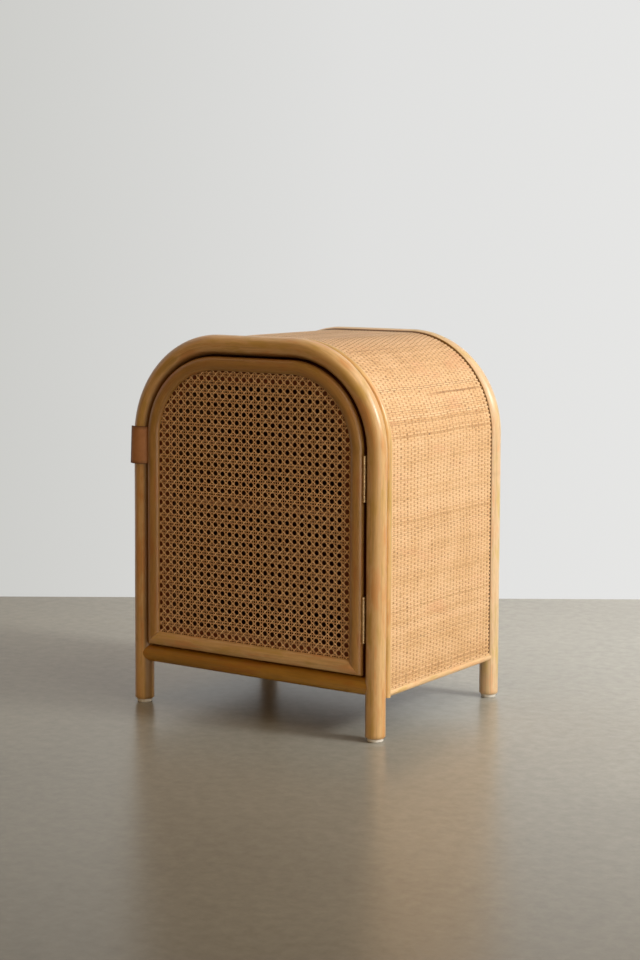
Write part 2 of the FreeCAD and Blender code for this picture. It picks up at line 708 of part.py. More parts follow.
frame_inset = door_inset + size["frame_width"]
frame_inner_bottom = door_bottom + size["frame_width"]
door_frame_body = padded("door_frame_body", "XZ_Plane", frame_front, frame_back,
                         arch(door_inset, door_bottom))
add_pocket(door_frame_body, "XZ_Plane", frame_front, frame_back, arch(frame_inset, frame_inner_bottom))

moulding_front = cane_front - size["moulding_rise"]
moulding_half = size["moulding_width"] / 2
moulding_bend = ((moulding_half * moulding_half + size["moulding_rise"] * size["moulding_rise"])
                 / (size["moulding_rise"] * 2))
moulding_inner = door_half - size["moulding_width"]
moulding_step = door_half - size["moulding_lip"]
arch_moulding_body = new_body("arch_moulding_body")
add_sweep(arch_moulding_body, door_bottom,
          outline([(moulding_inner, cane_front), (door_half, cane_front), (door_half, frame_front),
                   (moulding_step, frame_front), (moulding_step, cane_front)],
                  bends={0: moulding_bend}),
          cane_front, arch_path(door_inset, door_bottom))
mitre_top = door_bottom + size["moulding_width"]
for side in (-1, 1):
    outer, inner = door_half * side, moulding_inner * side
    corners = [(outer, door_bottom), (inner, mitre_top), (inner, door_bottom)]
    if side < 0:
        corners.reverse()
    add_pocket(arch_moulding_body, "XZ_Plane", moulding_front - 1, frame_front + 1, outline(corners))

foot_moulding_body = padded(
    "foot_moulding_body", "YZ_Plane", -door_half, door_half,
    outline([(frame_front, door_bottom), (frame_front, door_bottom + size["moulding_lip"]),
             (cane_front, door_bottom + size["moulding_lip"]), (cane_front, mitre_top),
             (cane_front, door_bottom)], bends={3: moulding_bend}))
for side in (-1, 1):
    outer, inner = door_half * side, moulding_inner * side
    corners = [(outer, door_bottom), (outer, mitre_top), (inner, mitre_top)]
    if side < 0:
        corners.reverse()
    add_pocket(foot_moulding_body, "XZ_Plane", moulding_front - 1, frame_front + 1, outline(corners))

hinge_seats = []
for name, height in hinge_heights.items():
    reach = half_hinge + size["mortise_margin"]
    hinge_seats.append(padded(f"{name}_hinge_seat", "XY_Plane", height - reach, height + reach,
                              rectangle(door_seat, door_half + 1, moulding_front - 1, leaf_back)))
tab_seat_x = -leg_x + tab_outer
tab_seat = padded("tab_seat", "XY_Plane", tab_low - size["mortise_margin"], tab_high + size["mortise_margin"],
                  rectangle(-door_half - 1, tab_seat_x, moulding_front - 1,
                            -leg_y + size["tab_root"] + size["mortise_margin"]))
door_seats = compound("door_seats", [*hinge_seats, tab_seat])
keep("door_frame", cut_by("door_frame", door_frame_body, door_seats, hinge_door_screws, strike_screws,
                          tab_screws))
keep("door_arch_moulding", cut_by("door_arch_moulding", arch_moulding_body, door_seats))
keep("door_foot_moulding", foot_moulding_body)


# ---- cane: four layers of strands, crossed to leave eight-sided holes -------------------------

cane_inset = door_inset + size["moulding_lip"] + size["fit"]
cane_low = door_bottom + size["moulding_lip"] + size["fit"]
cane_half = leg_x - cane_inset
cane_high = arch_top - cane_inset
half_strand = size["strand_width"] / 2
half_pair = size["pair_spacing"] / 2
pitch = size["cane_pitch"]
cane_middle = (cane_low + cane_high) / 2
steps_across = math.floor(cane_half.number / pitch.number)
steps_up = math.floor((cane_high.number - cane_low.number) / 2 / pitch.number)
cane_height = cane_high - cane_low


def strand_layer(name, layer, axis, count, *drawings):
    """Lay one set of strands in its own layer and repeat it at the pitch along an axis."""
    start = cane_front + size["strand_thickness"] * layer
    body = padded(name, "XZ_Plane", start, start + size["strand_thickness"], *drawings)
    pattern = body.newObject("PartDesign::LinearPattern", f"{name}_pattern")
    pattern.Originals = [body.Group[0] if body.Group[0].isDerivedFrom("PartDesign::Pad") else body.Group[1]]
    axis_line = next(part for part in body.Origin.OriginFeatures if part.Role == axis)
    pattern.Direction = (axis_line, [""])
    pattern.Mode = "Spacing"
    pattern.setExpression("Offset", pitch.text)
    pattern.Occurrences = count
    body.Tip = pattern
    return body


first_upright = pitch * -steps_across
upright_pair = [first_upright + half_pair * side for side in (-1, 1)]
uprights = strand_layer(
    "cane_uprights", 0, "X_Axis", 2 * steps_across + 1,
    *[rectangle(middle - half_strand, middle + half_strand, cane_low, cane_high)
      for middle in upright_pair])
first_rung = cane_middle - pitch * steps_up
rung_pair = [first_rung + half_pair * side for side in (-1, 1)]
rungs = strand_layer(
    "cane_rungs", 1, "Z_Axis", 2 * steps_up + 1,
    *[rectangle(-cane_half, cane_half, middle - half_strand, middle + half_strand)
      for middle in rung_pair])
slant = half_strand * math.sqrt(2)
steps_aslant = math.ceil((cane_half.number * 2 + cane_height.number) / pitch.number)
# A slanting strand crosses the middle line of the cane halfway between two uprights.
first_slant = pitch * (0.5 - steps_across) - pitch * (steps_aslant - 2 * steps_across - 1)
half_height = cane_height / 2
right_slants = strand_layer(
    "cane_right_slants", 2, "X_Axis", steps_aslant + 2 * steps_across,
    outline([(first_slant - half_height - slant, cane_low), (first_slant - half_height + slant, cane_low),
             (first_slant + half_height + slant, cane_high), (first_slant + half_height - slant, cane_high)]))
left_slants = strand_layer(
    "cane_left_slants", 3, "X_Axis", steps_aslant + 2 * steps_across,
    outline([(first_slant + half_height - slant, cane_low), (first_slant + half_height + slant, cane_low),
             (first_slant - half_height + slant, cane_high), (first_slant - half_height - slant, cane_high)]))
cane_sheet = padded("cane_sheet", "XZ_Plane", cane_front, frame_front, arch(cane_inset, cane_low))
cane_panel = doc.addObject("Part::Common", "cane_panel_common")
cane_panel.Base = compound("cane_strands", [uprights, rungs, right_slants, left_slants])
cane_panel.Tool = cane_sheet
keep("cane_panel", cane_panel)


# ---- hinges ---------------------------------------------------------------------------------

knuckle_length = size["hinge_length"] / knuckle_count
around_barrel = knuckle_radius + size["knuckle_clearance"]


def hinge_leaf(name, low, plate_left, plate_right, first_cut):
    """Make a leaf with its share of the knuckles; first_cut is the lowest knuckle it lacks."""
    high = low + size["hinge_length"]
    body = padded(name, "XY_Plane", low, high, rectangle(plate_left, plate_right, pin_y, leaf_back))
    add_pad(body, "XY_Plane", low, high, circle(pin_x, pin_y, knuckle_radius))
    for number in range(first_cut, knuckle_count, 2):
        below = size["knuckle_clearance"] / 2 if number > 0 else as_size(1.0)
        above = size["knuckle_clearance"] / 2 if number < knuckle_count - 1 else as_size(1.0)
        add_pocket(body, "XY_Plane", low + knuckle_length * number - below,
                   low + knuckle_length * (number + 1) + above,
                   rectangle(pin_x - around_barrel - 1, pin_x + around_barrel + 1,
                             pin_y - around_barrel, pin_y + around_barrel))
    pin_hole = size["pin_diameter"] / 2 + size["pin_clearance"]
    add_pocket(body, "XY_Plane", low, high, circle(pin_x, pin_y, pin_hole))
    return body


for name, height in hinge_heights.items():
    low = height - half_hinge
    frame_leaf = hinge_leaf(f"{name}_frame_leaf_body", low, pole_seat - size["leaf_thickness"], pole_seat, 1)
    door_leaf = hinge_leaf(f"{name}_door_leaf_body", low, door_seat, door_seat + size["leaf_thickness"], 0)
    keep(f"{name}_hinge_frame_leaf", cut_by(f"{name}_frame_leaf", frame_leaf, hinge_frame_screws))
    keep(f"{name}_hinge_door_leaf", cut_by(f"{name}_door_leaf", door_leaf, hinge_door_screws))
    keep(f"{name}_hinge_pin", rod(f"{name}_pin", "z", low, (pin_x, pin_y), size["pin_diameter"] / 2,
                                  size["hinge_length"]))
keep("hinge_frame_screws", hinge_frame_screws)
keep("hinge_door_screws", hinge_door_screws)


# ---- pull tab and strike plate --------------------------------------------------------------

tab_end_x = -leg_x - size["tab_overhang"]
tab_end_y = -leg_y - leg_of(tab_inner, size["tab_overhang"])
outer_end_x = -leg_x - size["tab_overhang"] * tab_outer / tab_inner
outer_end_y = -leg_y - leg_of(tab_inner, size["tab_overhang"]) * tab_outer / tab_inner
tab_body = padded(
    "tab_body", "XY_Plane", tab_low, tab_high,
    outline([(-leg_x + tab_inner, -leg_y + size["tab_root"]), (-leg_x + tab_inner, -leg_y),
             (tab_end_x, tab_end_y), (outer_end_x, outer_end_y),
             (-leg_x + tab_outer, -leg_y), (-leg_x + tab_outer, -leg_y + size["tab_root"])],
            hollows={1: tab_inner}, bends={3: tab_outer}))
keep("pull_tab", cut_by("pull_tab", tab_body, tab_screws))
keep("tab_screws", tab_screws)

strike_half = size["strike_width"] / 2
strike_body = padded("strike_body", "XY_Plane", catch_low, size["shelf_height"],
                     rectangle(catch_centre - strike_half, catch_centre + strike_half,
                               frame_back, frame_back + size["strike_thickness"]))
keep("strike_plate", cut_by("strike_plate", strike_body, strike_screws))
keep("strike_screw", strike_screws)


# ---- checks and export ----------------------------------------------------------------------

doc.recompute()
faults = [item.Label for item in doc.Objects if "Invalid" in item.State or "Error" in item.State]
faults += [piece.Label for piece in pieces if piece.Shape.isNull() or not piece.Shape.isValid()]
for pocket in pockets:
    if pocket.BaseFeature and pocket.Shape.Volume > pocket.BaseFeature.Shape.Volume - 1e-6:
        print("cuts nothing:", pocket.Label)
if faults:
    raise RuntimeError(f"failed objects: {faults}")

os.makedirs("parts", exist_ok=True)
for piece in pieces:
    piece.Shape.exportStep(f"parts/{piece.Label}.step")
    print(f"{piece.Label}: {len(piece.Shape.Solids)} solid(s), {piece.Shape.Volume / 1000:.2f} cm3")
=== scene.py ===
# %% [markdown]
# # A rattan bedside cabinet with an arched cane door
# The cabinet is two hoops of bent pole, a woven cover over a thin shell between
# them, and a door of cane webbing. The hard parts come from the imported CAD
# model. This lesson dresses them: it bends poles, weaves the cover and the cane
# strand by strand, and gives every part its finish.

# %% Load the frame
import math

import bmesh
import bpy
import numpy as np
from mathutils import Matrix, Vector


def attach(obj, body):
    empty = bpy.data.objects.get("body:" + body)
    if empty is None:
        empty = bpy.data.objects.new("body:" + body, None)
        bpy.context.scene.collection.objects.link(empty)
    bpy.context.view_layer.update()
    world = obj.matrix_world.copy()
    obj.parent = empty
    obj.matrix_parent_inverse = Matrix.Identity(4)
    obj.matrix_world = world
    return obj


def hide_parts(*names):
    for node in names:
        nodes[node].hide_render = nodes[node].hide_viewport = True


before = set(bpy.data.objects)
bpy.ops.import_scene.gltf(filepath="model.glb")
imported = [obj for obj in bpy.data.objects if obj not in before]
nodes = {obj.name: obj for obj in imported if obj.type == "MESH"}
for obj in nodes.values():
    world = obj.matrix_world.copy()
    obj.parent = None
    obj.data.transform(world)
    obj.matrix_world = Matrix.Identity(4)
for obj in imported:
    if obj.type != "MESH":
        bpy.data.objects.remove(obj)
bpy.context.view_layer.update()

# %% [markdown]
# ## Sizes
# Everything on this cabinet follows one arch: two legs, two quarter bends and
# a level top. The hoops, the cover, the beads and the door moulding are all
# offsets of it. We name the arch once and measure every piece from it.

# %% The arch and the poles
MM = 0.001
LEG_X = 201 * MM
LEG_Y = 158 * MM
POLE_RADIUS = 14 * MM
BEND_RADIUS = 137 * MM
BEND_START = 394 * MM
TOP_HALF = 64 * MM
BEND_LENGTH = BEND_RADIUS * math.pi / 2
POLE_FOOT = 5 * MM


def along_at(height):
    """How far along the arch a point of the leg at that height is."""
    return TOP_HALF + BEND_LENGTH + BEND_START - height


POLE_HALF = along_at(POLE_FOOT)
print(f"one pole is {2 * POLE_HALF:.3f} m long before it is bent")

# %% [markdown]
# ## The camera
# A long lens from the front right, a little above the cabinet, looking slightly
# down. The lens shift lifts the horizon, so that the legs stay upright.

# %% Place the camera
CAMERA_PLACE = Vector((1582.575, -2349.503, 683.991)) * MM
CAMERA_AZIMUTH = math.radians(33.936)
CAMERA_PITCH = math.radians(4.824)
CAMERA_ROLL = math.radians(0.259)
FOCAL_PIXELS, SHIFT_PIXELS, LONG_SIDE = 1939.335, -80, 960
SENSOR_WIDTH, SEES_TO = 36, 50


def facing(azimuth, elevation=0.0):
    """The way out from the cabinet at an azimuth, 0 in front, and an elevation."""
    level = math.cos(elevation)
    return Vector(
        (math.sin(azimuth) * level, -math.cos(azimuth) * level, math.sin(elevation))
    )


camera = bpy.data.objects.new("camera", bpy.data.cameras.new("camera"))
bpy.context.scene.collection.objects.link(camera)
back = facing(CAMERA_AZIMUTH, CAMERA_PITCH)
level_right = (-back).cross(Vector((0, 0, 1))).normalized()
level_up = level_right.cross(-back)
right = math.cos(CAMERA_ROLL) * level_right + math.sin(CAMERA_ROLL) * level_up
up = -math.sin(CAMERA_ROLL) * level_right + math.cos(CAMERA_ROLL) * level_up
camera.matrix_world = (
    Matrix.Translation(CAMERA_PLACE) @ Matrix((right, up, back)).transposed().to_4x4()
)
camera.data.sensor_width = SENSOR_WIDTH
camera.data.lens = FOCAL_PIXELS / LONG_SIDE * SENSOR_WIDTH
camera.data.shift_y = SHIFT_PIXELS / LONG_SIDE
camera.data.clip_end = SEES_TO
bpy.context.scene.camera = camera
print(f"lens {camera.data.lens:.1f} mm, shift {camera.data.shift_y:.3f}")

# %% [markdown]
# ## Node helpers
# A finish is a small tree of nodes round one Principled shader. One helper adds
# a node with its inputs filled or linked, one starts a finish with its
# constants on the shader itself, and the others are the few kinds of node that
# every finish here is made of.

# %% Helpers for shader nodes


def add(tree, kind, inputs=None, **settings):
    """Adds a node, sets its options, and fills or links its inputs."""
    node = tree.nodes.new("ShaderNode" + kind)
    for option, value in settings.items():
        setattr(node, option, value)
    for socket, value in (inputs or {}).items():
        if isinstance(value, bpy.types.NodeSocket):
            tree.links.new(value, node.inputs[socket])
        else:
            node.inputs[socket].default_value = value
    return node


def new_finish(name, **constants):
    """A material, its node tree and its Principled shader."""
    finish = bpy.data.materials.new(name)
    finish.use_nodes = True
    shader = finish.node_tree.nodes["Principled BSDF"]
    for socket, value in constants.items():
        shader.inputs[socket.replace("_", " ")].default_value = value
    return finish, finish.node_tree, shader


def maths(tree, operation, first, second=0.0, third=0.0, clamp=False):
    """One Math node."""
    inputs = {0: first, 1: second, 2: third}
    node = add(tree, "Math", inputs, operation=operation, use_clamp=clamp)
    return node.outputs[0]


def mix(tree, factor, first, second, blend="MIX"):
    """One Mix node for colours."""
    first, second = (
        (*colour, 1) if isinstance(colour, tuple) else colour
        for colour in (first, second)
    )
    inputs = {0: factor, 6: first, 7: second}
    return add(tree, "Mix", inputs, data_type="RGBA", blend_type=blend).outputs[2]


def ramp(tree, factor, *stops):
    """A colour ramp through (place, colour) stops."""
    node = add(tree, "ValToRGB", {0: factor})
    elements = node.color_ramp.elements
    while len(elements) < len(stops):
        elements.new(0.5)
    for element, (place, colour) in zip(elements, stops):
        element.position, element.color = place, (*colour, 1)
    return node.outputs[0]


def noise(tree, where, stretch, detail=3.0, rough=0.5, seed=(0, 0, 0)):
    """Noise, in cycles per metre: one number, or one for each axis."""
    if isinstance(stretch, (int, float)):
        stretch = (stretch,) * 3
    placed = add(tree, "Mapping", {0: where, "Location": seed, "Scale": stretch})
    inputs = {"Vector": placed.outputs[0], "Scale": 1, "Detail": detail}
    inputs["Roughness"] = rough
    return add(tree, "TexNoise", inputs).outputs[0]


def between(tree, value, low, high, share=None):
    """0 below low, 1 or the share above high, smooth between."""
    inputs = {0: value, 1: low, 2: high}
    node = add(tree, "MapRange", inputs, interpolation_type="SMOOTHSTEP")
    if share is None:
        return node.outputs[0]
    return maths(tree, "MULTIPLY", node.outputs[0], share)


def spread(tree, value, least, most):
    """Spreads a value of 0 to 1 over another range."""
    return add(tree, "MapRange", {0: value, 3: least, 4: most}).outputs[0]


def dot(tree, vector, way):
    """How far a vector reaches along a way."""
    inputs = {0: vector, 1: way}
    node = add(tree, "VectorMath", inputs, operation="DOT_PRODUCT")
    return node.outputs["Value"]


def mix_shaders(tree, factor, first, second):
    """One Mix Shader node."""
    return add(tree, "MixShader", {0: factor, 1: first, 2: second}).outputs[0]


def times(colour, *factors):
    """A colour times one factor, or times one for each channel."""
    factors = factors * 3 if len(factors) == 1 else factors
    return tuple(c * f for c, f in zip(colour, factors))


def paint(tree, shader, value, socket="Base Color"):
    """Links a colour, or another value, to the shader."""
    tree.links.new(value, shader.inputs[socket])


def bump(tree, shader, height, depth):
    """Adds relief of a real depth, in metres, to a shader."""
    inputs = {"Height": height, "Distance": depth, "Strength": 1.0}
    paint(tree, shader, add(tree, "Bump", inputs).outputs[0], "Normal")


def object_place(tree):
    """Where a point is on the whole cabinet, in metres."""
    return add(tree, "TexCoord").outputs["Object"]


def attribute(tree, name, output="Fac"):
    """A number or vector that the mesh carries on its points."""
    return add(tree, "Attribute", attribute_name=name).outputs[output]


# %% [markdown]
# ## Floor, wall and light
# The cabinet stands on pale polished concrete in front of a plain wall. Three
# lamps stand at its right: a small strong one, like a window, throws the crisp
# shadow, a broad soft one above it lights the side and top, and a weak low one
# gives the near leg its gleam. A dim warm world fills the shade on the door.
# Far off, the camera sees the floor fade to the pale backdrop. Floor and wall carry
# painted light: both are painted darker to the left, and the floor is also painted
# darker towards the camera. The wall shows only from its front, so that it never hides
# the back.

# %% Build the floor
FLOOR_HALF = 7
# Painted light: the floor is painted darker to its left and towards the camera, where
# less light falls on it.
FLOOR_PAINTED_SHADE_LEFT, FLOOR_PAINTED_LIGHT_RIGHT = (0.29, 0.275, 0.212), (0.555, 0.58, 0.555)
FLOOR_PAINTED_LIGHT_BEHIND, FLOOR_PAINTED_SHADE_IN_FRONT = (1.03, 1.03, 1.03), (0.36, 0.325, 0.283)
CLOUDS, CLOUD_RANGE = 2.5, (0.86, 1.12)
GRIT, GRIT_RANGE = 55, (0.76, 1.24)
FADE_FROM, FADE_TO = 1.7, 3.4
HAZE = (0.72, 0.72, 0.705, 1)
toward = facing(CAMERA_AZIMUTH)


def stage_plane(name, half, place, finish):
    """A large plane that isn't part of the cabinet."""
    bm = bmesh.new()
    bmesh.ops.create_grid(bm, x_segments=1, y_segments=1, size=half, matrix=place)
    mesh = bpy.data.meshes.new(name)
    bm.to_mesh(mesh)
    bm.free()
    plane = bpy.data.objects.new(name, mesh)
    bpy.context.scene.collection.objects.link(plane)
    mesh.materials.append(finish)
    print(f"{name}: {2 * half} m wide")


def distance_along(tree, way, low, high):
    """0 at one distance along a level way, 1 at another, even between."""
    run = dot(tree, object_place(tree), way)
    return add(tree, "MapRange", {0: run, 1: low, 2: high}).outputs[0]


concrete, tree, shader = new_finish("polished_concrete", Roughness=0.27)
where = object_place(tree)
# painted light falloff: darker to the left and towards the camera
side = distance_along(tree, level_right, -0.7, 0.8)
colour = mix(tree, side, FLOOR_PAINTED_SHADE_LEFT, FLOOR_PAINTED_LIGHT_RIGHT)
nearness = distance_along(tree, toward, -0.4, 1.1)
dim = mix(tree, nearness, FLOOR_PAINTED_LIGHT_BEHIND, FLOOR_PAINTED_SHADE_IN_FRONT)
clouds = spread(tree, noise(tree, where, CLOUDS), *CLOUD_RANGE)
grit = spread(tree, noise(tree, where, GRIT, 4, 0.7), *GRIT_RANGE)
marks = maths(tree, "MULTIPLY", clouds, grit)
marks = add(tree, "CombineXYZ", {i: marks for i in range(3)}).outputs[0]
colour = mix(tree, 1.0, mix(tree, 1.0, colour, dim, "MULTIPLY"), marks, "MULTIPLY")
paint(tree, shader, colour)
far = add(tree, "VectorMath", {0: where}, operation="LENGTH").outputs["Value"]
seen = add(tree, "LightPath").outputs["Is Camera Ray"]
faded = maths(tree, "MULTIPLY", between(tree, far, FADE_FROM, FADE_TO), seen)
haze = add(tree, "Emission", {0: HAZE}).outputs[0]
shown = mix_shaders(tree, faded, shader.outputs[0], haze)
tree.links.new(shown, tree.nodes["Material Output"].inputs[0])
stage_plane("floor", FLOOR_HALF, Matrix.Identity(4), concrete)

# %% Build the wall
WALL_HALF, WALL_DISTANCE = 6, 3637 * MM
# Painted light: the wall's glow is painted brighter to the right, where the lamps
# stand.
WALL_PAINTED_SHADE_LEFT, WALL_PAINTED_LIGHT_RIGHT = (0.585, 0.585, 0.56), (0.80, 0.80, 0.79)
WALL_PAINTED_LIGHT_MIDDLE = (0.745, 0.745, 0.735)
plaster, tree, shader = new_finish(
    "wall_plaster", Roughness=0.9, Base_Color=(0.5, 0.44, 0.38, 1),
    Specular_IOR_Level=0.1,
)
side = distance_along(tree, level_right, -0.75, 0.75)
glow = ramp(tree, side, (0, WALL_PAINTED_SHADE_LEFT), (0.55, WALL_PAINTED_LIGHT_MIDDLE), (1, WALL_PAINTED_LIGHT_RIGHT))
emission = add(tree, "Emission", {0: glow}).outputs[0]
path = add(tree, "LightPath").outputs
seen = maths(tree, "MAXIMUM", path["Is Camera Ray"], path["Is Glossy Ray"])
seen = maths(tree, "MAXIMUM", seen, path["Is Transmission Ray"])
shown = mix_shaders(tree, seen, shader.outputs[0], emission)
clear = add(tree, "BsdfTransparent").outputs[0]
behind = add(tree, "NewGeometry").outputs["Backfacing"]
both = mix_shaders(tree, behind, shown, clear)
tree.links.new(both, tree.nodes["Material Output"].inputs[0])
turned = Matrix((level_right, Vector((0, 0, 1)), toward)).transposed().to_4x4()
wall_foot = Vector((CAMERA_PLACE.x, CAMERA_PLACE.y, 0)) - toward * WALL_DISTANCE
stage_plane("wall", WALL_HALF, Matrix.Translation(wall_foot) @ turned, plaster)

# %% Hang the lamps
LAMP_AIM = Vector((0, 0, 0.27))
DAYLIGHT, WARM_LIGHT = (1.0, 0.985, 0.95), (1.0, 0.94, 0.84)
ROOM_DIM, ROOM_LIT = (0.08, 0.044, 0.012), (0.335, 0.198, 0.074)
ROOM_WAY = (0.35, -0.93, 0.05)
BACKDROP = (0.78, 0.78, 0.77)


def lamp(name, azimuth, elevation, distance, size, power, colour):
    """A square lamp that looks at the middle of the cabinet."""
    light = bpy.data.lights.new(name, "AREA")
    light.size, light.energy, light.color = size, power, colour
    thing = bpy.data.objects.new(name, light)
    bpy.context.scene.collection.objects.link(thing)
    away = facing(math.radians(azimuth), math.radians(elevation))
    thing.location = LAMP_AIM + away * distance
    thing.rotation_euler = (-away).to_track_quat("-Z", "Y").to_euler()


lamp("window_lamp", 98, 29, 5.0, 0.9, 130, DAYLIGHT)
lamp("soft_lamp", 93, 44, 2.8, 2.2, 38, DAYLIGHT)
lamp("side_lamp", 62, 0, 1.8, 0.9, 6.2, WARM_LIGHT)

world = bpy.data.worlds.new("studio")
bpy.context.scene.world = world
world.use_nodes = True
tree = world.node_tree
seen = add(tree, "LightPath").outputs["Is Camera Ray"]
way = add(tree, "TexCoord").outputs["Generated"]
glow = between(tree, dot(tree, way, ROOM_WAY), -0.7, 0.8)
fill = mix(tree, seen, mix(tree, glow, ROOM_DIM, ROOM_LIT), BACKDROP)
tree.links.new(fill, tree.nodes["Background"].inputs["Color"])
bpy.context.scene.view_settings.view_transform = "Standard"
print("three lamps and a dim warm world")

# %% [markdown]
# ## Bending over the arch
# Rattan is worked straight and then bent, and we do the same. Each bent piece
# is modelled flat: X is the way along the arch, Y the depth, Z the way out from
# the pole's centre line. One function then bends the points. The flat place of
# each stays on the mesh as an attribute, so that grain runs along a bent pole.

# %% Helpers for meshes


def points_of(mesh):
    """The mesh's points as rows of x, y, z."""
    numbers = np.empty(len(mesh.vertices) * 3)
    mesh.vertices.foreach_get("co", numbers)
    return numbers.reshape(-1, 3)


def move_points(mesh, points):
    """Writes the points back."""
    mesh.vertices.foreach_set("co", np.ascontiguousarray(points).ravel())
    mesh.update()


def carry(mesh, name, values):
    """Keeps a number or a vector on each point of the mesh."""
    kind, key = ("FLOAT", "value") if values.ndim == 1 else ("FLOAT_VECTOR", "vector")
    layer = mesh.attributes.new(name, kind, "POINT")
    layer.data.foreach_set(key, np.ascontiguousarray(values, np.float32).ravel())


def bent(flat):
    """Bends flat points (along, depth, out) over the arch."""
    along, depth, out = flat.T
    half = np.abs(along)
    angle = np.clip((half - TOP_HALF) / BEND_RADIUS, 0, math.pi / 2)
    down = np.maximum(half - TOP_HALF - BEND_LENGTH, 0)
    reach = np.minimum(half, TOP_HALF)
    x = np.sign(along) * (reach + (BEND_RADIUS + out) * np.sin(angle))
    z = BEND_START + (BEND_RADIUS + out) * np.cos(angle) - down
    return np.stack([x, depth, z], 1)


def hump(off, width):
    """1 at nought, falling to 0 on both sides."""
    return np.exp(-((off / width) ** 2))


def over_top(along):
    """1 along the level top of the arch, falling to 0 at the straight sides."""
    angle = np.clip((np.abs(along) - TOP_HALF) / BEND_RADIUS, 0, math.pi / 2)
    return np.cos(angle) ** 2


def mesh_from(bm, name):
    """Turns a bmesh into a mesh with smooth faces."""
    for face in bm.faces:
        face.smooth = True
    mesh = bpy.data.meshes.new(name)
    bm.to_mesh(mesh)
    bm.free()
    return mesh


def put(name, mesh, finish, slot, *stands_for, body="cabinet", points=None, **carried):
    """Links a finished piece, attaches it to its body and hides the CAD nodes it stands
    for.
    """
    for label, values in carried.items():
        carry(mesh, label, values)
    if points is not None:
        move_points(mesh, points)
    piece = bpy.data.objects.new(name, mesh)
    bpy.context.scene.collection.objects.link(piece)
    mesh.materials.append(finish)
    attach(piece, body)
    if stands_for:
        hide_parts(*stands_for)
    mesh.calc_loop_triangles()
    print(f"{name}: {len(mesh.loop_triangles)} triangles")


# %% [markdown]
# ## The pole finish
# Peeled pole is honey coloured, with long streaks, fine pores and a faint
# darker ring where each leaf grew, under a satin lacquer. The streaks are noise
# stretched along the flat place of the point. Rails are straight CAD nodes, so
# they use the object's own axes.

# %% Mix the pole finish
OLIVE, RUSSET = (0.95, 1.0, 0.68), (1.10, 0.92, 0.85)
# On the next line, the second colour is painted shade in the groove round the door.
RING_BROWN, GROOVE_SHADE = (0.30, 0.14, 0.045), (0.13, 0.055, 0.01)
# Painted shade on the poles along the cover's edge, a lighter and a deeper colour.
COVER_EDGE_SHADE, COVER_EDGE_SHADE_DEEP = (0.25, 0.11, 0.01), (0.13, 0.05, 0.002)


def pole_finish(name, pale, deep, along_axis=None):
    """Streaked rattan pole. along_axis is None where the mesh carries 'flat'."""
    finish, tree, shader = new_finish(
        name, Roughness=0.42, Coat_Weight=0.6, Coat_Roughness=0.3
    )
    if along_axis is None:
        where, along_axis = attribute(tree, "flat", "Vector"), 0
    else:
        where = object_place(tree)

    def grain(along, around, detail, rough, seed=(0, 0, 0)):
        """Noise with one size along the pole and another round it."""
        stretch = [along if axis == along_axis else around for axis in range(3)]
        return noise(tree, where, stretch, detail, rough, seed)

    broad = grain(3, 70, 4, 0.55)
    fine = grain(12, 480, 4, 0.7, (3.1, 1.7, 0.4))
    pores = grain(60, 2600, 2, 0.5, (0.3, 5.2, 2.2))
    mottle = grain(15, 60, 3, 0.6, (4.4, 0.9, 3.3))
    pits = between(tree, pores, 0.6, 0.72, 0.35)
    below = attribute(tree, "below_cover")
    colour = ramp(tree, broad, (0.32, deep), (0.62, pale))
    for share, stain in (
        (between(tree, mottle, 0.5, 0.66, 0.85), times(deep, *OLIVE)),
        (between(tree, mottle, 0.5, 0.36, 0.85), times(deep, *RUSSET)),
        (between(tree, fine, 0.48, 0.66, 0.5), times(deep, 0.72)),
        (pits, times(deep, 0.5)),
        (maths(tree, "MULTIPLY", attribute(tree, "ring"), 0.16), RING_BROWN),
        # painted shade beside the cover's edge, then in the groove round the door
        (between(tree, below, 0.6, 1.3), COVER_EDGE_SHADE),
        (between(tree, below, 1.2, 2.0), COVER_EDGE_SHADE_DEEP),
        (maths(tree, "MULTIPLY", attribute(tree, "groove"), 0.7), GROOVE_SHADE),
    ):
        colour = mix(tree, share, colour, stain)
    paint(tree, shader, colour)
    paint(tree, shader, spread(tree, fine, 0.36, 0.5), "Roughness")
    bump(tree, shader, maths(tree, "MULTIPLY_ADD", pits, -1.0, fine), 0.12 * MM)
    return finish


pole = pole_finish("pole_lacquered", (0.73, 0.465, 0.205), (0.58, 0.33, 0.112))
# A paler copy of the pole finish for the back hoop: painted light for its brightly lit
# side.
pole_painted_lit_back = pole_finish("pole_lacquered_painted_lit_back", (0.82, 0.60, 0.36), (0.72, 0.50, 0.27))
rail_x = pole_finish(
    "pole_lacquered_rail", (0.49, 0.25, 0.022), (0.375, 0.175, 0.012), 0
)
print("pole finish mixed")

# %% [markdown]
# ## The two hoops
# A pole is a long tube. We draw its round section, grow it along in straight steps, and
# bend the tube over the arch. The front hoop has a flat where each hinge leaf is let
# in, so it gets extra rings of points beside each leaf. Small swellings mark the growth
# rings of the cane. Two more numbers on the points say where shade is painted on the
# pole: how far it is below the edge of the cover, and how far it turns into the groove
# round the door.

# %% Bend the hoops
POLE_SIDES, CHAMFER, UPRIGHT = 48, 2 * MM, Matrix.Rotation(math.pi / 2, 4, "Y")
FLAT_X, FLAT_EDGE = 188.9 * MM, 0.15 * MM
LEAVES = ((135.2 * MM, 198.2 * MM), (327.5 * MM, 390.5 * MM))
RING_WIDTH, RING_RISE, SHRINK = 1.6 * MM, 0.16 * MM, 0.05 * MM
COVER_EDGE, COVER_EDGE_RISE = 8.6 * MM, 4.0 * MM
# Where painted shade falls on a pole beside the cover: how far to the side, how far
# out, and down to what height.
COVER_SHADE_ASIDE, COVER_SHADE_OUT, COVER_SHADE_FOOT = 6 * MM, 3 * MM, 66 * MM
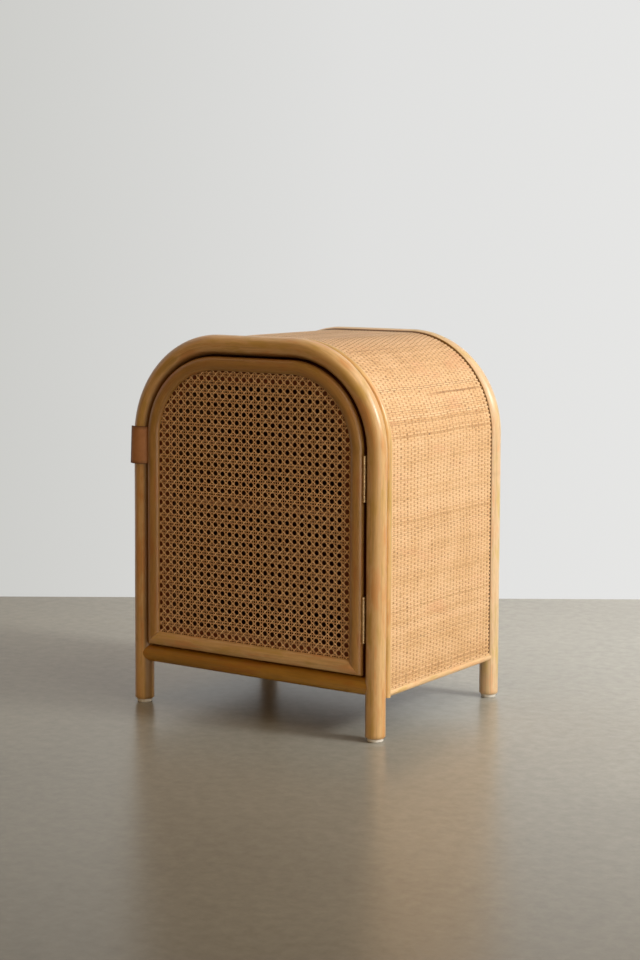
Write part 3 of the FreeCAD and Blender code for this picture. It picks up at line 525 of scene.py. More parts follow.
# Painted shade on the front hoop where it turns into the groove round the door.
GROOVE_FROM, GROOVE_FULL = -7.4 * MM, -10.4 * MM


def pick(geometry, kind):
    """The points, edges or faces among what a bmesh operator made."""
    return [part for part in geometry if isinstance(part, kind)]


def steps_of(half, step=6 * MM):
    """Even stations from -half to half."""
    return list(np.linspace(-half, half, round(2 * half / step)))


def grow(bm, stations, sides):
    """Draws the outline in bm along X, ring by ring, and closes both ends."""
    rim = list(bm.edges)
    for here, there in zip(stations, stations[1:]):
        grown = bmesh.ops.extrude_edge_only(bm, edges=rim)["geom"]
        ring = pick(grown, bmesh.types.BMVert)
        edges = pick(grown, bmesh.types.BMEdge)
        rim = [edge for edge in edges if set(ring).issuperset(edge.verts)]
        bmesh.ops.translate(bm, verts=ring, vec=(there - here, 0, 0))
    bmesh.ops.holes_fill(bm, edges=bm.edges, sides=sides)
    bmesh.ops.recalc_face_normals(bm, faces=bm.faces)


def hoop(name, depth, rings, leaves, node, finish):
    """One pole: a straight tube, bent to a hoop."""
    stations = steps_of(POLE_HALF) + [CHAMFER - POLE_HALF, POLE_HALF - CHAMFER]
    for leaf in leaves:
        for edge in map(along_at, leaf):
            stations += [edge - FLAT_EDGE, edge + FLAT_EDGE]
    bm = bmesh.new()
    bmesh.ops.create_circle(bm, segments=POLE_SIDES, radius=POLE_RADIUS, matrix=UPRIGHT)
    bmesh.ops.translate(bm, verts=bm.verts, vec=(-POLE_HALF, 0, 0))
    grow(bm, sorted(stations), POLE_SIDES)
    mesh = mesh_from(bm, name)
    flat = points_of(mesh)
    along = flat[:, 0]
    ring = sum(hump(along - r * MM, RING_WIDTH) for r in rings)
    swell = 1 + (RING_RISE * ring - SHRINK) / POLE_RADIUS
    taper = np.clip((POLE_HALF - np.abs(along)) / CHAMFER, 0, 1)
    swell *= 1 - CHAMFER / POLE_RADIUS * (1 - taper)
    aside, out = (flat[:, 1:] * swell[:, None]).T
    out = out + 0.1 * MM * np.sin(along * 31 + depth * 90) * taper
    flat = np.column_stack([along, aside, out])
    # Painted shade on the pole, the deeper the further below the cover's edge.
    below = (COVER_EDGE + COVER_EDGE_RISE * over_top(along) - out) / MM
    in_cover_shade = (aside * np.sign(depth) < -COVER_SHADE_ASIDE) & (out > COVER_SHADE_OUT)
    in_cover_shade &= np.abs(along) < along_at(COVER_SHADE_FOOT)
    # painted shade in the groove between the front hoop and the door
    groove = np.clip((out - GROOVE_FROM) / (GROOVE_FULL - GROOVE_FROM), 0, 1)
    points = bent(flat) + [0, depth, 0]
    for low, high in leaves:
        let_in = (points[:, 2] > low) & (points[:, 2] < high) & (points[:, 0] > 0)
        points[let_in, 0] = np.maximum(points[let_in, 0], FLAT_X)
    put(
        name, mesh, finish, "rattan_pole", node, points=points,
        flat=flat + [0, depth, 0], ring=ring, below_cover=in_cover_shade * below,
        groove=((depth < 0) & (aside < 0)) * groove,
    )


FRONT_RINGS = (-548, -291, -38, 203, 437, 611)
BACK_RINGS = (-602, -377, -121, 96, 338, 574)
hoop("hoop_front", -LEG_Y, FRONT_RINGS, LEAVES, "front_hoop", pole)
hoop("hoop_back", LEG_Y, BACK_RINGS, (), "back_hoop", pole_painted_lit_back)

# %% [markdown]
# ## A field of strands
# Woven rattan is hundreds of thin strips. One strip is drawn as a four-sided
# section spun along X, its ends are closed, and spin copies it across Y as often
# as the weave needs. Moving the points afterwards, by rules of where they are,
# sends each strip over and under its neighbours.

# %% Helper for strands


def strand_field(name, length, steps, count, pitch, half_width, half_thick):
    """Straight strips along X, side by side from y = 0.

    Also gives the points, the strip each is on, and how far from its middle.
    """
    bm = bmesh.new()
    bmesh.ops.create_circle(bm, segments=4, radius=1, matrix=UPRIGHT)
    bmesh.ops.scale(bm, verts=bm.verts, vec=(1, half_width, half_thick))
    bmesh.ops.spin(
        bm, geom=bm.verts[:] + bm.edges[:], axis=(1, 0, 0),
        dvec=(length / steps, 0, 0), steps=steps,
    )
    bmesh.ops.holes_fill(bm, edges=bm.edges, sides=4)
    bmesh.ops.recalc_face_normals(bm, faces=bm.faces)
    if count > 1:
        bmesh.ops.spin(
            bm, geom=bm.verts[:] + bm.edges[:] + bm.faces[:], axis=(1, 0, 0),
            dvec=(0, pitch, 0), steps=count - 1, use_duplicate=True,
        )
    mesh = mesh_from(bm, name)
    mesh.set_sharp_from_angle(angle=math.radians(60))
    flat = points_of(mesh)
    row = np.rint(flat[:, 1] / pitch).astype(int)
    return mesh, flat, row, flat[:, 1] - row * pitch


# %% [markdown]
# ## The woven finishes
# Strips differ: most are pale honey, some are browner or redder, and a few carry
# near-black spots. Each strip carries its own tone, and noise along the strip varies
# it. Where a strip dives under a rib, and along its edges, shade is painted on it, near
# black in the deepest gaps. A strand of cane has pale edges where its bark is cut,
# which also serve as a painted highlight.

# %% Mix the weave finish
# Painted shade for the weave: the first colour on the next line where a strip dives or
# meets its neighbour, the second near black in the deepest gaps.
SPOT, BLUSH = (0.06, 0.025, 0.01), (0.76, 0.37, 0.20)
DIVE_SHADE, DEEP_GAP_SHADE = (0.27, 0.115, 0.015), (0.03, 0.012, 0.005)
# Pale cut edges of cane, which also serve as a painted highlight along each strand.
CUT_EDGE_AND_HIGHLIGHT = (1.0, 0.78, 0.52)


def strip_finish(name, stops, spots, shine, pale_edge_and_highlight=0.0):
    """Split rattan: tone picks the colour, noise streaks it, spots darken it."""
    finish, tree, shader = new_finish(
        name, Roughness=shine, Coat_Weight=0.15, Coat_Roughness=0.3
    )
    where = attribute(tree, "flat", "Vector")
    cloud = noise(tree, where, 22, 3, 0.6)
    streak = noise(tree, where, 500, 2, 0.5, (7.7, 0.2, 1.3))
    speck = noise(tree, where, 150, 2, 0.5, (2.9, 4.1, 0.6))
    patch = noise(tree, where, (26, 9, 9), 3, 0.6, (1.1, 6.2, 0.8))
    tone = attribute(tree, "tone")
    for wave, strength in ((cloud, 0.7), (streak, 1.15)):
        off = maths(tree, "SUBTRACT", wave, 0.5)
        tone = maths(tree, "MULTIPLY_ADD", off, strength, tone)
    colour = ramp(tree, tone, *stops)
    dive = attribute(tree, "dive")
    for share, stain in (
        (between(tree, speck, 1 - spots, 1.04 - spots, 0.75), SPOT),
        (between(tree, patch, 0.55, 0.75, 0.45), BLUSH),
        # painted shade where strips dive and along their edges, near black where
        # deepest
        (maths(tree, "MULTIPLY", dive, 1.0, clamp=True), DIVE_SHADE),
        (maths(tree, "SUBTRACT", dive, 1.1, clamp=True), DEEP_GAP_SHADE),
    ):
        colour = mix(tree, share, colour, stain)
    # pale cut edges, also a painted highlight
    if pale_edge_and_highlight:
        edge = maths(tree, "MULTIPLY", attribute(tree, "rim"), pale_edge_and_highlight)
        colour = mix(tree, edge, colour, CUT_EDGE_AND_HIGHLIGHT)
    paint(tree, shader, colour)
    bump(tree, shader, streak, 0.08 * MM)
    return finish


WEAVE_STOPS = (
    (0.05, (0.87, 0.595, 0.34)),
    (0.40, (0.77, 0.49, 0.245)),
    (0.72, (0.55, 0.31, 0.14)),
    (0.97, (0.30, 0.135, 0.05)),
)
weave = strip_finish("split_rattan", WEAVE_STOPS, 0.27, 0.55)
warp_finish = strip_finish(
    "split_rattan_warp",
    ((0.2, (0.56, 0.27, 0.10)), (0.8, (0.38, 0.165, 0.055))), 0.3, 0.6,
)
print("weave finishes mixed")

# %% [markdown]
# ## Weaving the cover
# The cover is a plain weave. Ribs follow the arch, 9 mm apart, and some 420
# thin strips run from front to back and pass over one rib and under the next.
# Where a strip rides over a rib it spreads, and where it dives it narrows, which leaves
# the small dark slits of real weave. Dice give each strip a tone and a width of its own
# and deepen the painted shade at some ribs. Strips on the bends get a darker tone, as
# painted shade. Every second strip ends a little short of the back hoop. The strips are
# laid in three sheets, so that none grows too large.

# %% Throw the dice for the weave
dice = np.random.default_rng(6589)
RIB_PITCH = 9.0 * MM
COVER_FRONT, COVER_BACK = -145.2 * MM, 144.6 * MM
COVER_FOOT, COVER_MID = 66.5 * MM, 7.15 * MM
COVER_HALF = along_at(COVER_FOOT)
STRIPS = round(2 * COVER_HALF / (2.9 * MM))
STRIP_PITCH = 2 * COVER_HALF / STRIPS
RIBS, PANEL_PLACES = 33, 101
RIB_FIRST = -(RIBS - 1) / 2 * RIB_PITCH
strips = np.arange(STRIPS)
strip_middle = (strips + 0.5) * STRIP_PITCH - COVER_HALF
strip_tone = dice.beta(1.6, 3.8, STRIPS) * 0.5 + 0.08
strip_tone += 0.06 * np.sin(strips * 0.11) + 0.09 * np.sin(strips * 0.43)
# Painted shade: strips on the bends get a darker tone, against the stronger light that
# falls there.
bend_shade = 1 - np.abs(2 * over_top(strip_middle) - 1)
strip_tone += 0.18 * bend_shade
strip_tone[dice.choice(STRIPS, 9, replace=False)] = 0.92
strip_width = dice.normal(1.0, 0.07, STRIPS)
rib_width = dice.uniform(0.7, 1.3, RIBS)
# how deep the painted shade is where strips dive under each rib
rib_shade = dice.uniform(0.0, 0.3, RIBS)
rib_shade[dice.choice(RIBS, 8, replace=False)] = dice.uniform(0.55, 1.0, 8)
rib_shade[-1] = 1.0
cell_chance = dice.random((PANEL_PLACES, STRIPS)) ** 2.5
strip_end = 144.2 * MM + dice.normal(0, 0.25, STRIPS) * MM
strip_end[(RIBS - 1 + strips) % 2 == 0] -= 2.8 * MM
print(STRIPS, "strips,", f"{STRIP_PITCH / MM:.2f} mm apart")

# %% Weave the cover
STRIP_HALF_WIDTH, STRIP_HALF_THICK, STRIP_STEPS = 1.3 * MM, 0.16 * MM, 162
RIB_HALF_WIDTH, RIB_HALF_THICK = 1.0 * MM, 0.3 * MM
LIFT, BULGE, DIVE_WIDTH, SHADE_WIDTH = 0.5 * MM, 2.0 * MM, 1.9 * MM, 1.5 * MM


def drift(along, depth):
    """How far the strips wander along the arch from a true row."""
    steady = np.clip((COVER_HALF - np.abs(along)) / (30 * MM), 0, 1)
    return steady * (
        0.6 * MM * np.sin(depth * 27 + along * 9)
        + 0.35 * MM * np.sin(depth * 61 - along * 23 + 1.3)
    )


def ease(part):
    """0 up to 0, 1 from 1 on, and smooth between."""
    part = np.clip(part, 0, 1)
    return part * part * (3 - 2 * part)


def bulge(along, depth):
    """How far the cover stands higher over the top than at its front edge."""
    rise = ease((depth - COVER_FRONT - 5 * MM) / (90 * MM))
    return BULGE * over_top(along) * rise


def wander(along, depth):
    """How far the ribs stray to the front or back of their true places."""
    free = 1 - (depth / (145 * MM)) ** 2
    return free * MM * (
        2.2 * np.sin(along * 17)
        + 1.3 * np.sin(along * 47 + 1)
        + 0.7 * np.sin(along * 29 + depth * 22)
    )


def over_under(across, pitch):
    """1 where a strip lies on top, with a short dive to -1 at every second rib."""
    off = (across + pitch) % (2 * pitch) - pitch
    return 1 - 2 * hump(off, DIVE_WIDTH)


def shade_at_ribs(depth, over, first, darkness, number):
    """How much shade is painted on a strip where it dives, by the rib it crosses."""
    place = (depth - first) / RIB_PITCH
    rib = np.clip(np.rint(place), 0, len(darkness) - 1)
    near = hump((place - rib) * RIB_PITCH, SHADE_WIDTH)
    rib = rib.astype(int)
    chance = cell_chance[rib, number]
    dip = (0.14 + 0.95 * darkness[rib]) * (1 - over) / 2
    patchy = 1 + 0.35 * np.sin(depth * 55 + number * 0.21) * np.sin(number * 0.13 + 2)
    # near-black painted shade in a few of the gaps where a strip dives
    deep_gap_shade = np.where((chance > 0.985) & (over < 0), 1.6, 0)
    return near * ((0.14 + 1.75 * dip) * (0.30 + 2.3 * chance) * patchy + deep_gap_shade)


def weave_strips(name, first, count):
    """Some rows of strips of the cover, woven flat and then bent."""
    span = COVER_BACK - COVER_FRONT
    mesh, flat, row, aside = strand_field(
        name, span, STRIP_STEPS, count, STRIP_PITCH, STRIP_HALF_WIDTH, STRIP_HALF_THICK
    )
    rim = np.abs(aside) / STRIP_HALF_WIDTH
    number = row + first
    depth = COVER_FRONT + flat[:, 0] / span * (strip_end[number] - COVER_FRONT)
    middle = strip_middle[number]
    straight = depth - wander(middle, depth)
    over = over_under(straight - RIB_FIRST + number * RIB_PITCH, RIB_PITCH)
    aside = aside * strip_width[number] * (1.08 + 0.12 * over)
    along = middle + aside + drift(middle, depth)
    along = np.clip(along, -COVER_HALF, COVER_HALF)
    out = COVER_MID + LIFT * over + flat[:, 2] + bulge(middle, depth)
    flat = np.column_stack([along, depth, out])
    shade = shade_at_ribs(straight, over, RIB_FIRST, rib_shade, number)
    tone = strip_tone[number]
    patch = 0.5 + 0.5 * np.sin(depth * 19 + number * 1.7)
    mesh.flip_normals()
    put(
        name, mesh, weave, "rattan_weave", "woven_cover", points=bent(flat), flat=flat,
        tone=np.where(tone > 0.7, tone * patch, tone),
        # painted shade where strips dive and along their edges
        dive=0.85 * shade + 0.32 * rim**2,
    )


third = STRIPS // 3
weave_strips("cover_strips_left", 0, third)
weave_strips("cover_strips_top", third, third)
weave_strips("cover_strips_right", 2 * third, STRIPS - 2 * third)

mesh, flat, rib, aside = strand_field(
    "cover_ribs", 2 * COVER_HALF, STRIPS, RIBS - 1, RIB_PITCH, RIB_HALF_WIDTH,
    RIB_HALF_THICK,
)
along = flat[:, 0] - COVER_HALF
number = flat[:, 0] / STRIP_PITCH - 0.5
depth = RIB_FIRST + rib * RIB_PITCH
depth = depth + wander(along, depth) + aside * rib_width[rib]
out = COVER_MID - 0.14 * MM * np.cos(math.pi * (rib + number)) + flat[:, 2]
flat = np.column_stack([along, depth, out + bulge(along, depth)])
put(
    "cover_ribs", mesh, warp_finish, "rattan_weave", "woven_cover",
    points=bent(flat), flat=flat, tone=0.4 + 0.2 * np.sin(rib * 2.3),
)

# %% [markdown]
# ## The shell and the half-round beads
# The strips are glued to a thin shell of bent plywood. Its outer face is painted dark,
# as painted shade between the strips. Shell, beads and door moulding are each one
# section drawn along the arch: we draw the section, grow it in steps, and bend the
# result.

# %% Helper for a section along the arch


def swept(name, section, stations):
    """A closed section of (depth, out) points, grown along X and closed."""
    bm = bmesh.new()
    outline = [bm.verts.new((stations[0], d, o)) for d, o in section]
    bm.faces.new(outline)
    bmesh.ops.delete(bm, geom=bm.faces[:], context="FACES_ONLY")
    grow(bm, stations, len(outline))
    mesh = mesh_from(bm, name)
    mesh.set_sharp_from_angle(angle=math.radians(40))
    return mesh


def bend_piece(name, mesh, finish, slot, *stands_for, body="cabinet", adjust=None):
    """Keeps the flat place, bends the mesh over the arch, and puts it."""
    flat = points_of(mesh)
    points = adjust(bent(flat)) if adjust else bent(flat)
    put(name, mesh, finish, slot, *stands_for, body=body, points=points, flat=flat)


# %% Bend the shell
SHELL_DEPTH, SHELL_OUT = 144 * MM, 6 * MM
# Painted shade: the shell's outer face is painted dark, for the shade between the
# strips.
SHELL_SHADE_LAYER, SHELL_PAINTED_SHADE = (5.6 * MM, 5.9 * MM), (0.15, 0.058, 0.012)
PLY_PALE, PLY_DEEP = (0.22, 0.105, 0.045), (0.15, 0.07, 0.03)
PLY_LINE = (0.1, 0.045, 0.02)
shell_finish, tree, shader = new_finish(
    "shell_plywood", Roughness=0.7, Specular_IOR_Level=0.1
)
where = attribute(tree, "flat", "Vector")
veneer = noise(tree, where, (6, 90, 300), 3, 0.6)
wood = ramp(tree, veneer, (0.3, PLY_DEEP), (0.7, PLY_PALE))
plies = add(tree, "TexWave", {"Vector": where, "Scale": 260.0}, bands_direction="Z")
wood = mix(tree, maths(tree, "MULTIPLY", plies.outputs[1], 0.25), wood, PLY_LINE)
outward = add(tree, "SeparateXYZ", {0: where}).outputs[2]
# painted shade on the outer face
wood = mix(tree, between(tree, outward, *SHELL_SHADE_LAYER), wood, SHELL_PAINTED_SHADE)
paint(tree, shader, wood)
bump(tree, shader, veneer, 0.1 * MM)
front, deep, out = -SHELL_DEPTH, SHELL_DEPTH, SHELL_OUT
section = [(front, 0), (deep, 0), (deep, out), (front, out)]
mesh = swept("shell", section, steps_of(COVER_HALF, 5 * MM))
bend_piece("shell", mesh, shell_finish, "plywood", "bent_shell")

# %% Bend the beads
trim = pole_finish("trim_lacquered", (0.77, 0.495, 0.20), (0.60, 0.355, 0.125))


def bead(name, foot, radius, sides, depth, out, turn, node):
    """A half-round bead along the arch. Its round side faces out, then turns."""
    angles = np.linspace(0, math.pi, sides + 1) + turn
    rounding = zip(depth + radius * np.cos(angles), out + radius * np.sin(angles))
    mesh = swept(name, rounding, steps_of(along_at(foot)))
    bend_piece(name, mesh, trim, "rattan_trim", node)


bead(
    "bead_front", foot=58.5 * MM, radius=5 * MM, sides=14, depth=-140.8 * MM,
    out=7.6 * MM, turn=0, node="front_bead",
)
bead(
    "bead_back", foot=91.1 * MM, radius=3 * MM, sides=10, depth=146 * MM,
    out=-12.04 * MM, turn=-math.pi / 2, node="back_bead",
)

# %% [markdown]
# ## The back panel
# The back is woven the same way, but flat. Strips run level and ribs stand
# upright, and each is as long as the arch lets it be at its place.

# %% Weave the back
PANEL_OUT, PANEL_FOOT, PANEL_MID = -7.3 * MM, 84.3 * MM, 145.1 * MM
PANEL_TOP = BEND_START + BEND_RADIUS + PANEL_OUT
PANEL_CLEAR, PANEL_STRIP_HALF_THICK = 1.5 * MM, 0.24 * MM


def quarter(beyond, out):
    """How far a bend reaches one way, where it is so far along the other."""
    radius = BEND_RADIUS + out
    return np.sqrt(np.maximum(radius**2 - np.maximum(beyond, 0) ** 2, 0))


def reach_at(height, out):
    """Half the width of the arch at a height, for an offset of the poles."""
    return TOP_HALF + quarter(height - BEND_START, out)


def height_at(across, out):
    """The height of the arch at a distance from the middle."""
    return BEND_START + quarter(np.abs(across) - TOP_HALF, out)


rows = int((PANEL_TOP - PANEL_FOOT) / STRIP_PITCH) - 1
mesh, flat, row, aside = strand_field(
    "back_strips", 2.0, 160, rows, STRIP_PITCH, STRIP_HALF_WIDTH,
    PANEL_STRIP_HALF_THICK,
)
level = PANEL_FOOT + (row + 0.6) * STRIP_PITCH
x = (flat[:, 0] - 1) * reach_at(level + PANEL_CLEAR, PANEL_OUT)
over = over_under(x + row * RIB_PITCH, RIB_PITCH)
z = level + aside * (1.06 + 0.14 * over) + 0.3 * MM * np.sin(x * 40)
y = PANEL_MID + LIFT * over - flat[:, 2]
panel_shade = rib_shade[np.arange(PANEL_PLACES) % RIBS]
first_rib = -(PANEL_PLACES // 2) * RIB_PITCH
put(
    "back_strips", mesh, weave, "rattan_weave", "back_weave",
    points=np.column_stack([x, y, z]), flat=np.column_stack([z, x, y]),
    tone=np.minimum(strip_tone[row], 0.6),
    # painted shade where strips dive
    dive=shade_at_ribs(x, over, first_rib, panel_shade, row),
)

panel_ribs = 2 * int((LEG_X + PANEL_OUT - 2 * MM) / RIB_PITCH) + 1
mesh, flat, rib, aside = strand_field(
    "back_ribs", 1.0, rows, panel_ribs, RIB_PITCH, RIB_HALF_WIDTH, RIB_HALF_THICK
)
x = (rib - panel_ribs // 2) * RIB_PITCH
top = height_at(np.abs(x) + PANEL_CLEAR, PANEL_OUT) - 1 * MM
z = PANEL_FOOT + flat[:, 0] * (top - PANEL_FOOT)
x = x + aside
put(
    "back_ribs", mesh, warp_finish, "rattan_weave", "back_weave",
    points=np.column_stack([x, PANEL_MID - flat[:, 2], z]),
    flat=np.column_stack([z, x, flat[:, 2]]), tone=0.4 + 0.2 * np.sin(rib * 2.3),
)

# %% [markdown]
# ## The door moulding
# A half-oval moulding frames the cane. It runs round the arch in one bent
# piece, and a straight piece closes the foot, joined by mitres. Its outer part
# reaches back over the edge of the cane, to the flat frame behind. At the pull
# side it stands out a little further than the true arch.

# %% Bend the door moulding
moulding = pole_finish(
    "moulding_lacquered", (0.475, 0.256, 0.076), (0.37, 0.185, 0.047)
)
# A paler copy of the moulding finish for the foot piece: painted light for its lit
# upper face.
moulding_painted_lit_foot = pole_finish(
    "moulding_lacquered_painted_lit_foot", (0.76, 0.50, 0.23), (0.63, 0.38, 0.155)
)
DOOR_OUT, MOULDING_WIDTH, MOULDING_RISE = -16.5 * MM, 20 * MM, 8 * MM
CANE_FRONT, FRAME_FRONT, LIP = -165.7 * MM, -164.3 * MM, 5 * MM
DOOR_FOOT, MITRE_GAP, GRAIN_SHIFT = 89.5 * MM, 0.3 * MM, 3.0
FLARE, FLARE_FROM, FLARE_RUN = 1.5 * MM, 40 * MM, 100 * MM


def mitred(flat, half):
    """Cuts both ends back, the more so the further in from the door's edge."""
    mitre = half - (DOOR_OUT - flat[:, 2]) - MITRE_GAP
    flat[:, 0] = np.sign(flat[:, 0]) * np.minimum(np.abs(flat[:, 0]), mitre)
    return flat


def flare(points):
    """The pull side of the door stands a little wider than the true arch."""
    points[:, 0] -= FLARE * ease((-points[:, 0] - FLARE_FROM) / FLARE_RUN)
    return points


half, lip = MOULDING_WIDTH / 2, DOOR_OUT - LIP
oval = [
    (CANE_FRONT - MOULDING_RISE * math.sin(a), DOOR_OUT - half + half * math.cos(a))
    for a in np.linspace(0, math.pi, 25)
]
section = oval + [(CANE_FRONT, lip), (FRAME_FRONT, lip), (FRAME_FRONT, DOOR_OUT)]
half = along_at(DOOR_FOOT)
mesh = swept("moulding_arch", section, steps_of(half, 7 * MM))
move_points(mesh, mitred(points_of(mesh), half))
bend_piece(
    "moulding_arch", mesh, moulding, "door_moulding", "door_arch_moulding",
    body="door", adjust=flare,
)

half = LEG_X + DOOR_OUT
mesh = swept("moulding_foot", section, steps_of(half, 10 * MM))
flat = mitred(points_of(mesh), half)
height = DOOR_FOOT + (DOOR_OUT - flat[:, 2])
put(
    "moulding_foot", mesh, moulding_painted_lit_foot, "door_moulding", "door_foot_moulding",
    body="door", flat=flat + [GRAIN_SHIFT, 0, 0],
    points=flare(np.column_stack([-flat[:, 0], flat[:, 1], height])),
)

# %% [markdown]
# ## The cane webbing
# Cane webbing has four sets of strands: pairs of uprights, pairs of level
# rungs, and two sets of slants that cross midway between the pairs. The pairs
# interlace with each other, one slant passes over the rungs and under the
# uprights, and the other does the reverse. Eight-sided holes stay open.

# %% Weave the cane
CANE_ACROSS, CANE_UP, PAIR_HALF = 12.41 * MM, 12.24 * MM, 2.1 * MM
CANE_OUT, CANE_FOOT, CANE_MID = -21.7 * MM, 94.7 * MM, -165.0 * MM
CANE_HALF_WIDTH, CANE_HALF_THICK = 0.77 * MM, 0.2 * MM
CANE_TOP = BEND_START + BEND_RADIUS + CANE_OUT
CANE_CENTRE, CANE_MIDDLE = 305.6 * MM, 2.8 * MM
CANE_REACH = LEG_X + CANE_OUT
PAIR_WAVE, SLANT_WAVE, CROSS_WIDTH = 0.2 * MM, 0.42 * MM, 1.5 * MM
PAIR_CLEAR, SLANT_CLEAR = 1 * MM, 0.7 * MM
STEPS_PER_HOLE, PLACES_TO_TRY, SHORTEST = 8, 1401, 12
CANE_STOPS = (
    (0.0, (0.98, 0.69, 0.38)),
    (0.4, (0.74, 0.41, 0.15)),
    (0.75, (0.48, 0.19, 0.042)),
    (1.0, (0.29, 0.09, 0.014)),
)
cane = strip_finish("cane_bark", CANE_STOPS, 0.2, 0.33, pale_edge_and_highlight=0.5)


def crossing(distance, pitch):
    """Plus one on the pair's first strand, minus one on its second."""
    off = (distance + pitch / 2) % pitch - pitch / 2
    return hump(off + PAIR_HALF, CROSS_WIDTH) - hump(off - PAIR_HALF, CROSS_WIDTH)


def cane_piece(name, starts, stops, lift, tone):
    """Strands between pairs of (x, z) ends, lifted by a rule of x, z and number."""
    starts, stops = np.array(starts), np.array(stops)
    run = stops - starts
    lengths = np.linalg.norm(run, axis=1)
    longest = lengths.max()
    steps = int(longest / CANE_UP * STEPS_PER_HOLE)
    mesh, flat, strand, aside = strand_field(
        name, 1.0, steps, len(starts), 1.0, CANE_HALF_WIDTH, CANE_HALF_THICK
    )
    run_way = run / lengths[:, None]
    side_way = np.column_stack([-run_way[:, 1], run_way[:, 0]])
    line = starts[strand] + flat[:, :1] * run[strand]
    x, z = (line + aside[:, None] * side_way[strand]).T
    y = CANE_MID - lift(line[:, 0], line[:, 1], strand) - flat[:, 2]
    put(
        name, mesh, cane, "cane", "cane_panel", body="door",
        points=np.column_stack([x, y, z]), rim=np.abs(aside) / CANE_HALF_WIDTH,
        flat=np.column_stack([flat[:, 0] * longest, x + z, strand * 0.013]),
        tone=tone + 0.10 * np.sin(strand * 2.4 + 0.7) + 0.06 * np.sin(strand * 7.1),
    )


def pair_lines(centre, pitch, low, high):
    """The places of paired strands between two limits, and each one's side."""
    places = (
        (centre + k * pitch + side * PAIR_HALF, side)
        for k in range(-18, 19) for side in (-1, 1)
    )
    low, high = low + PAIR_CLEAR, high - PAIR_CLEAR
    return np.array([place for place in places if low < place[0] < high]).T


columns, column_side = pair_lines(CANE_MIDDLE, CANE_ACROSS, -CANE_REACH, CANE_REACH)
tops = height_at(np.abs(columns) + CANE_HALF_WIDTH, CANE_OUT)
cane_piece(
    "cane_uprights",
    [(c, CANE_FOOT) for c in columns],
    list(zip(columns, tops)),
    lambda x, z, n: PAIR_WAVE * crossing(z - CANE_CENTRE, CANE_UP) * column_side[n],
    0.80,
)
levels, level_side = pair_lines(CANE_CENTRE, CANE_UP, CANE_FOOT, CANE_TOP)
widths = reach_at(levels + CANE_HALF_WIDTH, CANE_OUT)
cane_piece(
    "cane_rungs",
    list(zip(-widths, levels)),
    list(zip(widths, levels)),
    lambda x, z, n: -PAIR_WAVE * crossing(x - CANE_MIDDLE, CANE_ACROSS) * level_side[n],
    0.78,
)


def slant_ends(slope):
    """Where each slanting strand enters and leaves the arch of the cane."""
    found = []
    for k in range(-40, 41):
        c = (k + 0.5) * CANE_UP
        x = np.linspace(-CANE_REACH, CANE_REACH, PLACES_TO_TRY)
        z = CANE_CENTRE + slope * CANE_UP / CANE_ACROSS * (x - CANE_MIDDLE) + c
        inside = np.minimum(z - CANE_FOOT, height_at(x, CANE_OUT) - z) > SLANT_CLEAR
        held = np.flatnonzero(inside & (np.abs(x) < CANE_REACH - SLANT_CLEAR))
        if len(held) > SHORTEST:
            a, b = held[0], held[-1]
            found.append(((x[a], z[a]), (x[b], z[b])))
    return list(zip(*found))


def slant_wave(x):
    """Over the rungs and under the uprights."""
    return -SLANT_WAVE * np.cos(2 * math.pi * (x - CANE_MIDDLE) / CANE_ACROSS)


cane_piece("cane_slants_up", *slant_ends(1), lambda x, z, n: slant_wave(x), 0.20)
cane_piece("cane_slants_down", *slant_ends(-1), lambda x, z, n: -slant_wave(x), 0.16)

# %% [markdown]
# ## The leather tab
# A strap of leather is fixed to the edge of the door and bent round the front of the
# leg, so that a finger can hook behind it. Its section is grown straight and then spun
# round the leg, and its edges are bevelled and burnished darker. Where it leaves the
# gap by the door, shade is painted on it. The top of the strap leans in a little
# towards the leg.

# %% Spin the leather tab
HIDE_DEEP, HIDE_PALE = (0.41, 0.182, 0.073), (0.505, 0.237, 0.102)
BURNISH_AND_SHADE = (0.07, 0.028, 0.012)
leather, tree, shader = new_finish("tab_leather_tan", Roughness=0.55)
where = object_place(tree)
pebble = add(tree, "TexVoronoi", {0: where, 2: 900.0}).outputs[0]
cloud = noise(tree, where, 60, 4, 0.6)
hide = ramp(tree, cloud, (0.3, HIDE_DEEP), (0.7, HIDE_PALE))
burnish_and_shade = maths(tree, "MULTIPLY", attribute(tree, "edge"), 0.85)
paint(tree, shader, mix(tree, burnish_and_shade, hide, BURNISH_AND_SHADE))
bump(tree, shader, pebble, 0.12 * MM)

TAB_LOW, TAB_HIGH, TAB_INNER, TAB_THICK = 354 * MM, 408.5 * MM, 16.8 * MM, 3 * MM
TAB_ROOT, TAB_SWEEP, TAB_STEPS = 5.5 * MM, math.radians(135.5), 30
TAB_ROUNDING, TAB_LEAN, SHARP = 0.7 * MM, 1.6 * MM, 1.0
BURNT_WIDTH, END_ROUNDING = 0.9 * MM, 4.2 * MM
ROOT_SHADE_TO, LEAN_FROM = math.radians(38), math.radians(60)
tall = TAB_HIGH - TAB_LOW
bm = bmesh.new()
bmesh.ops.create_grid(bm, x_segments=1, y_segments=10, size=0.5)
bmesh.ops.scale(bm, verts=bm.verts, vec=(TAB_THICK, tall, 1))
place = Matrix.Translation(
    (-LEG_X + TAB_INNER + TAB_THICK / 2, -LEG_Y + TAB_ROOT, (TAB_LOW + TAB_HIGH) / 2)
) @ Matrix.Rotation(math.pi / 2, 4, "X")
bmesh.ops.transform(bm, verts=bm.verts, matrix=place)
straight = bmesh.ops.extrude_face_region(bm, geom=bm.faces[:])["geom"]
ends = pick(straight, bmesh.types.BMVert)
bmesh.ops.translate(bm, verts=ends, vec=(0, -TAB_ROOT, 0))
front = pick(straight, bmesh.types.BMFace)
rim = {e for f in front for e in f.edges}
geometry = front + list(rim) + list({v for f in front for v in f.verts})
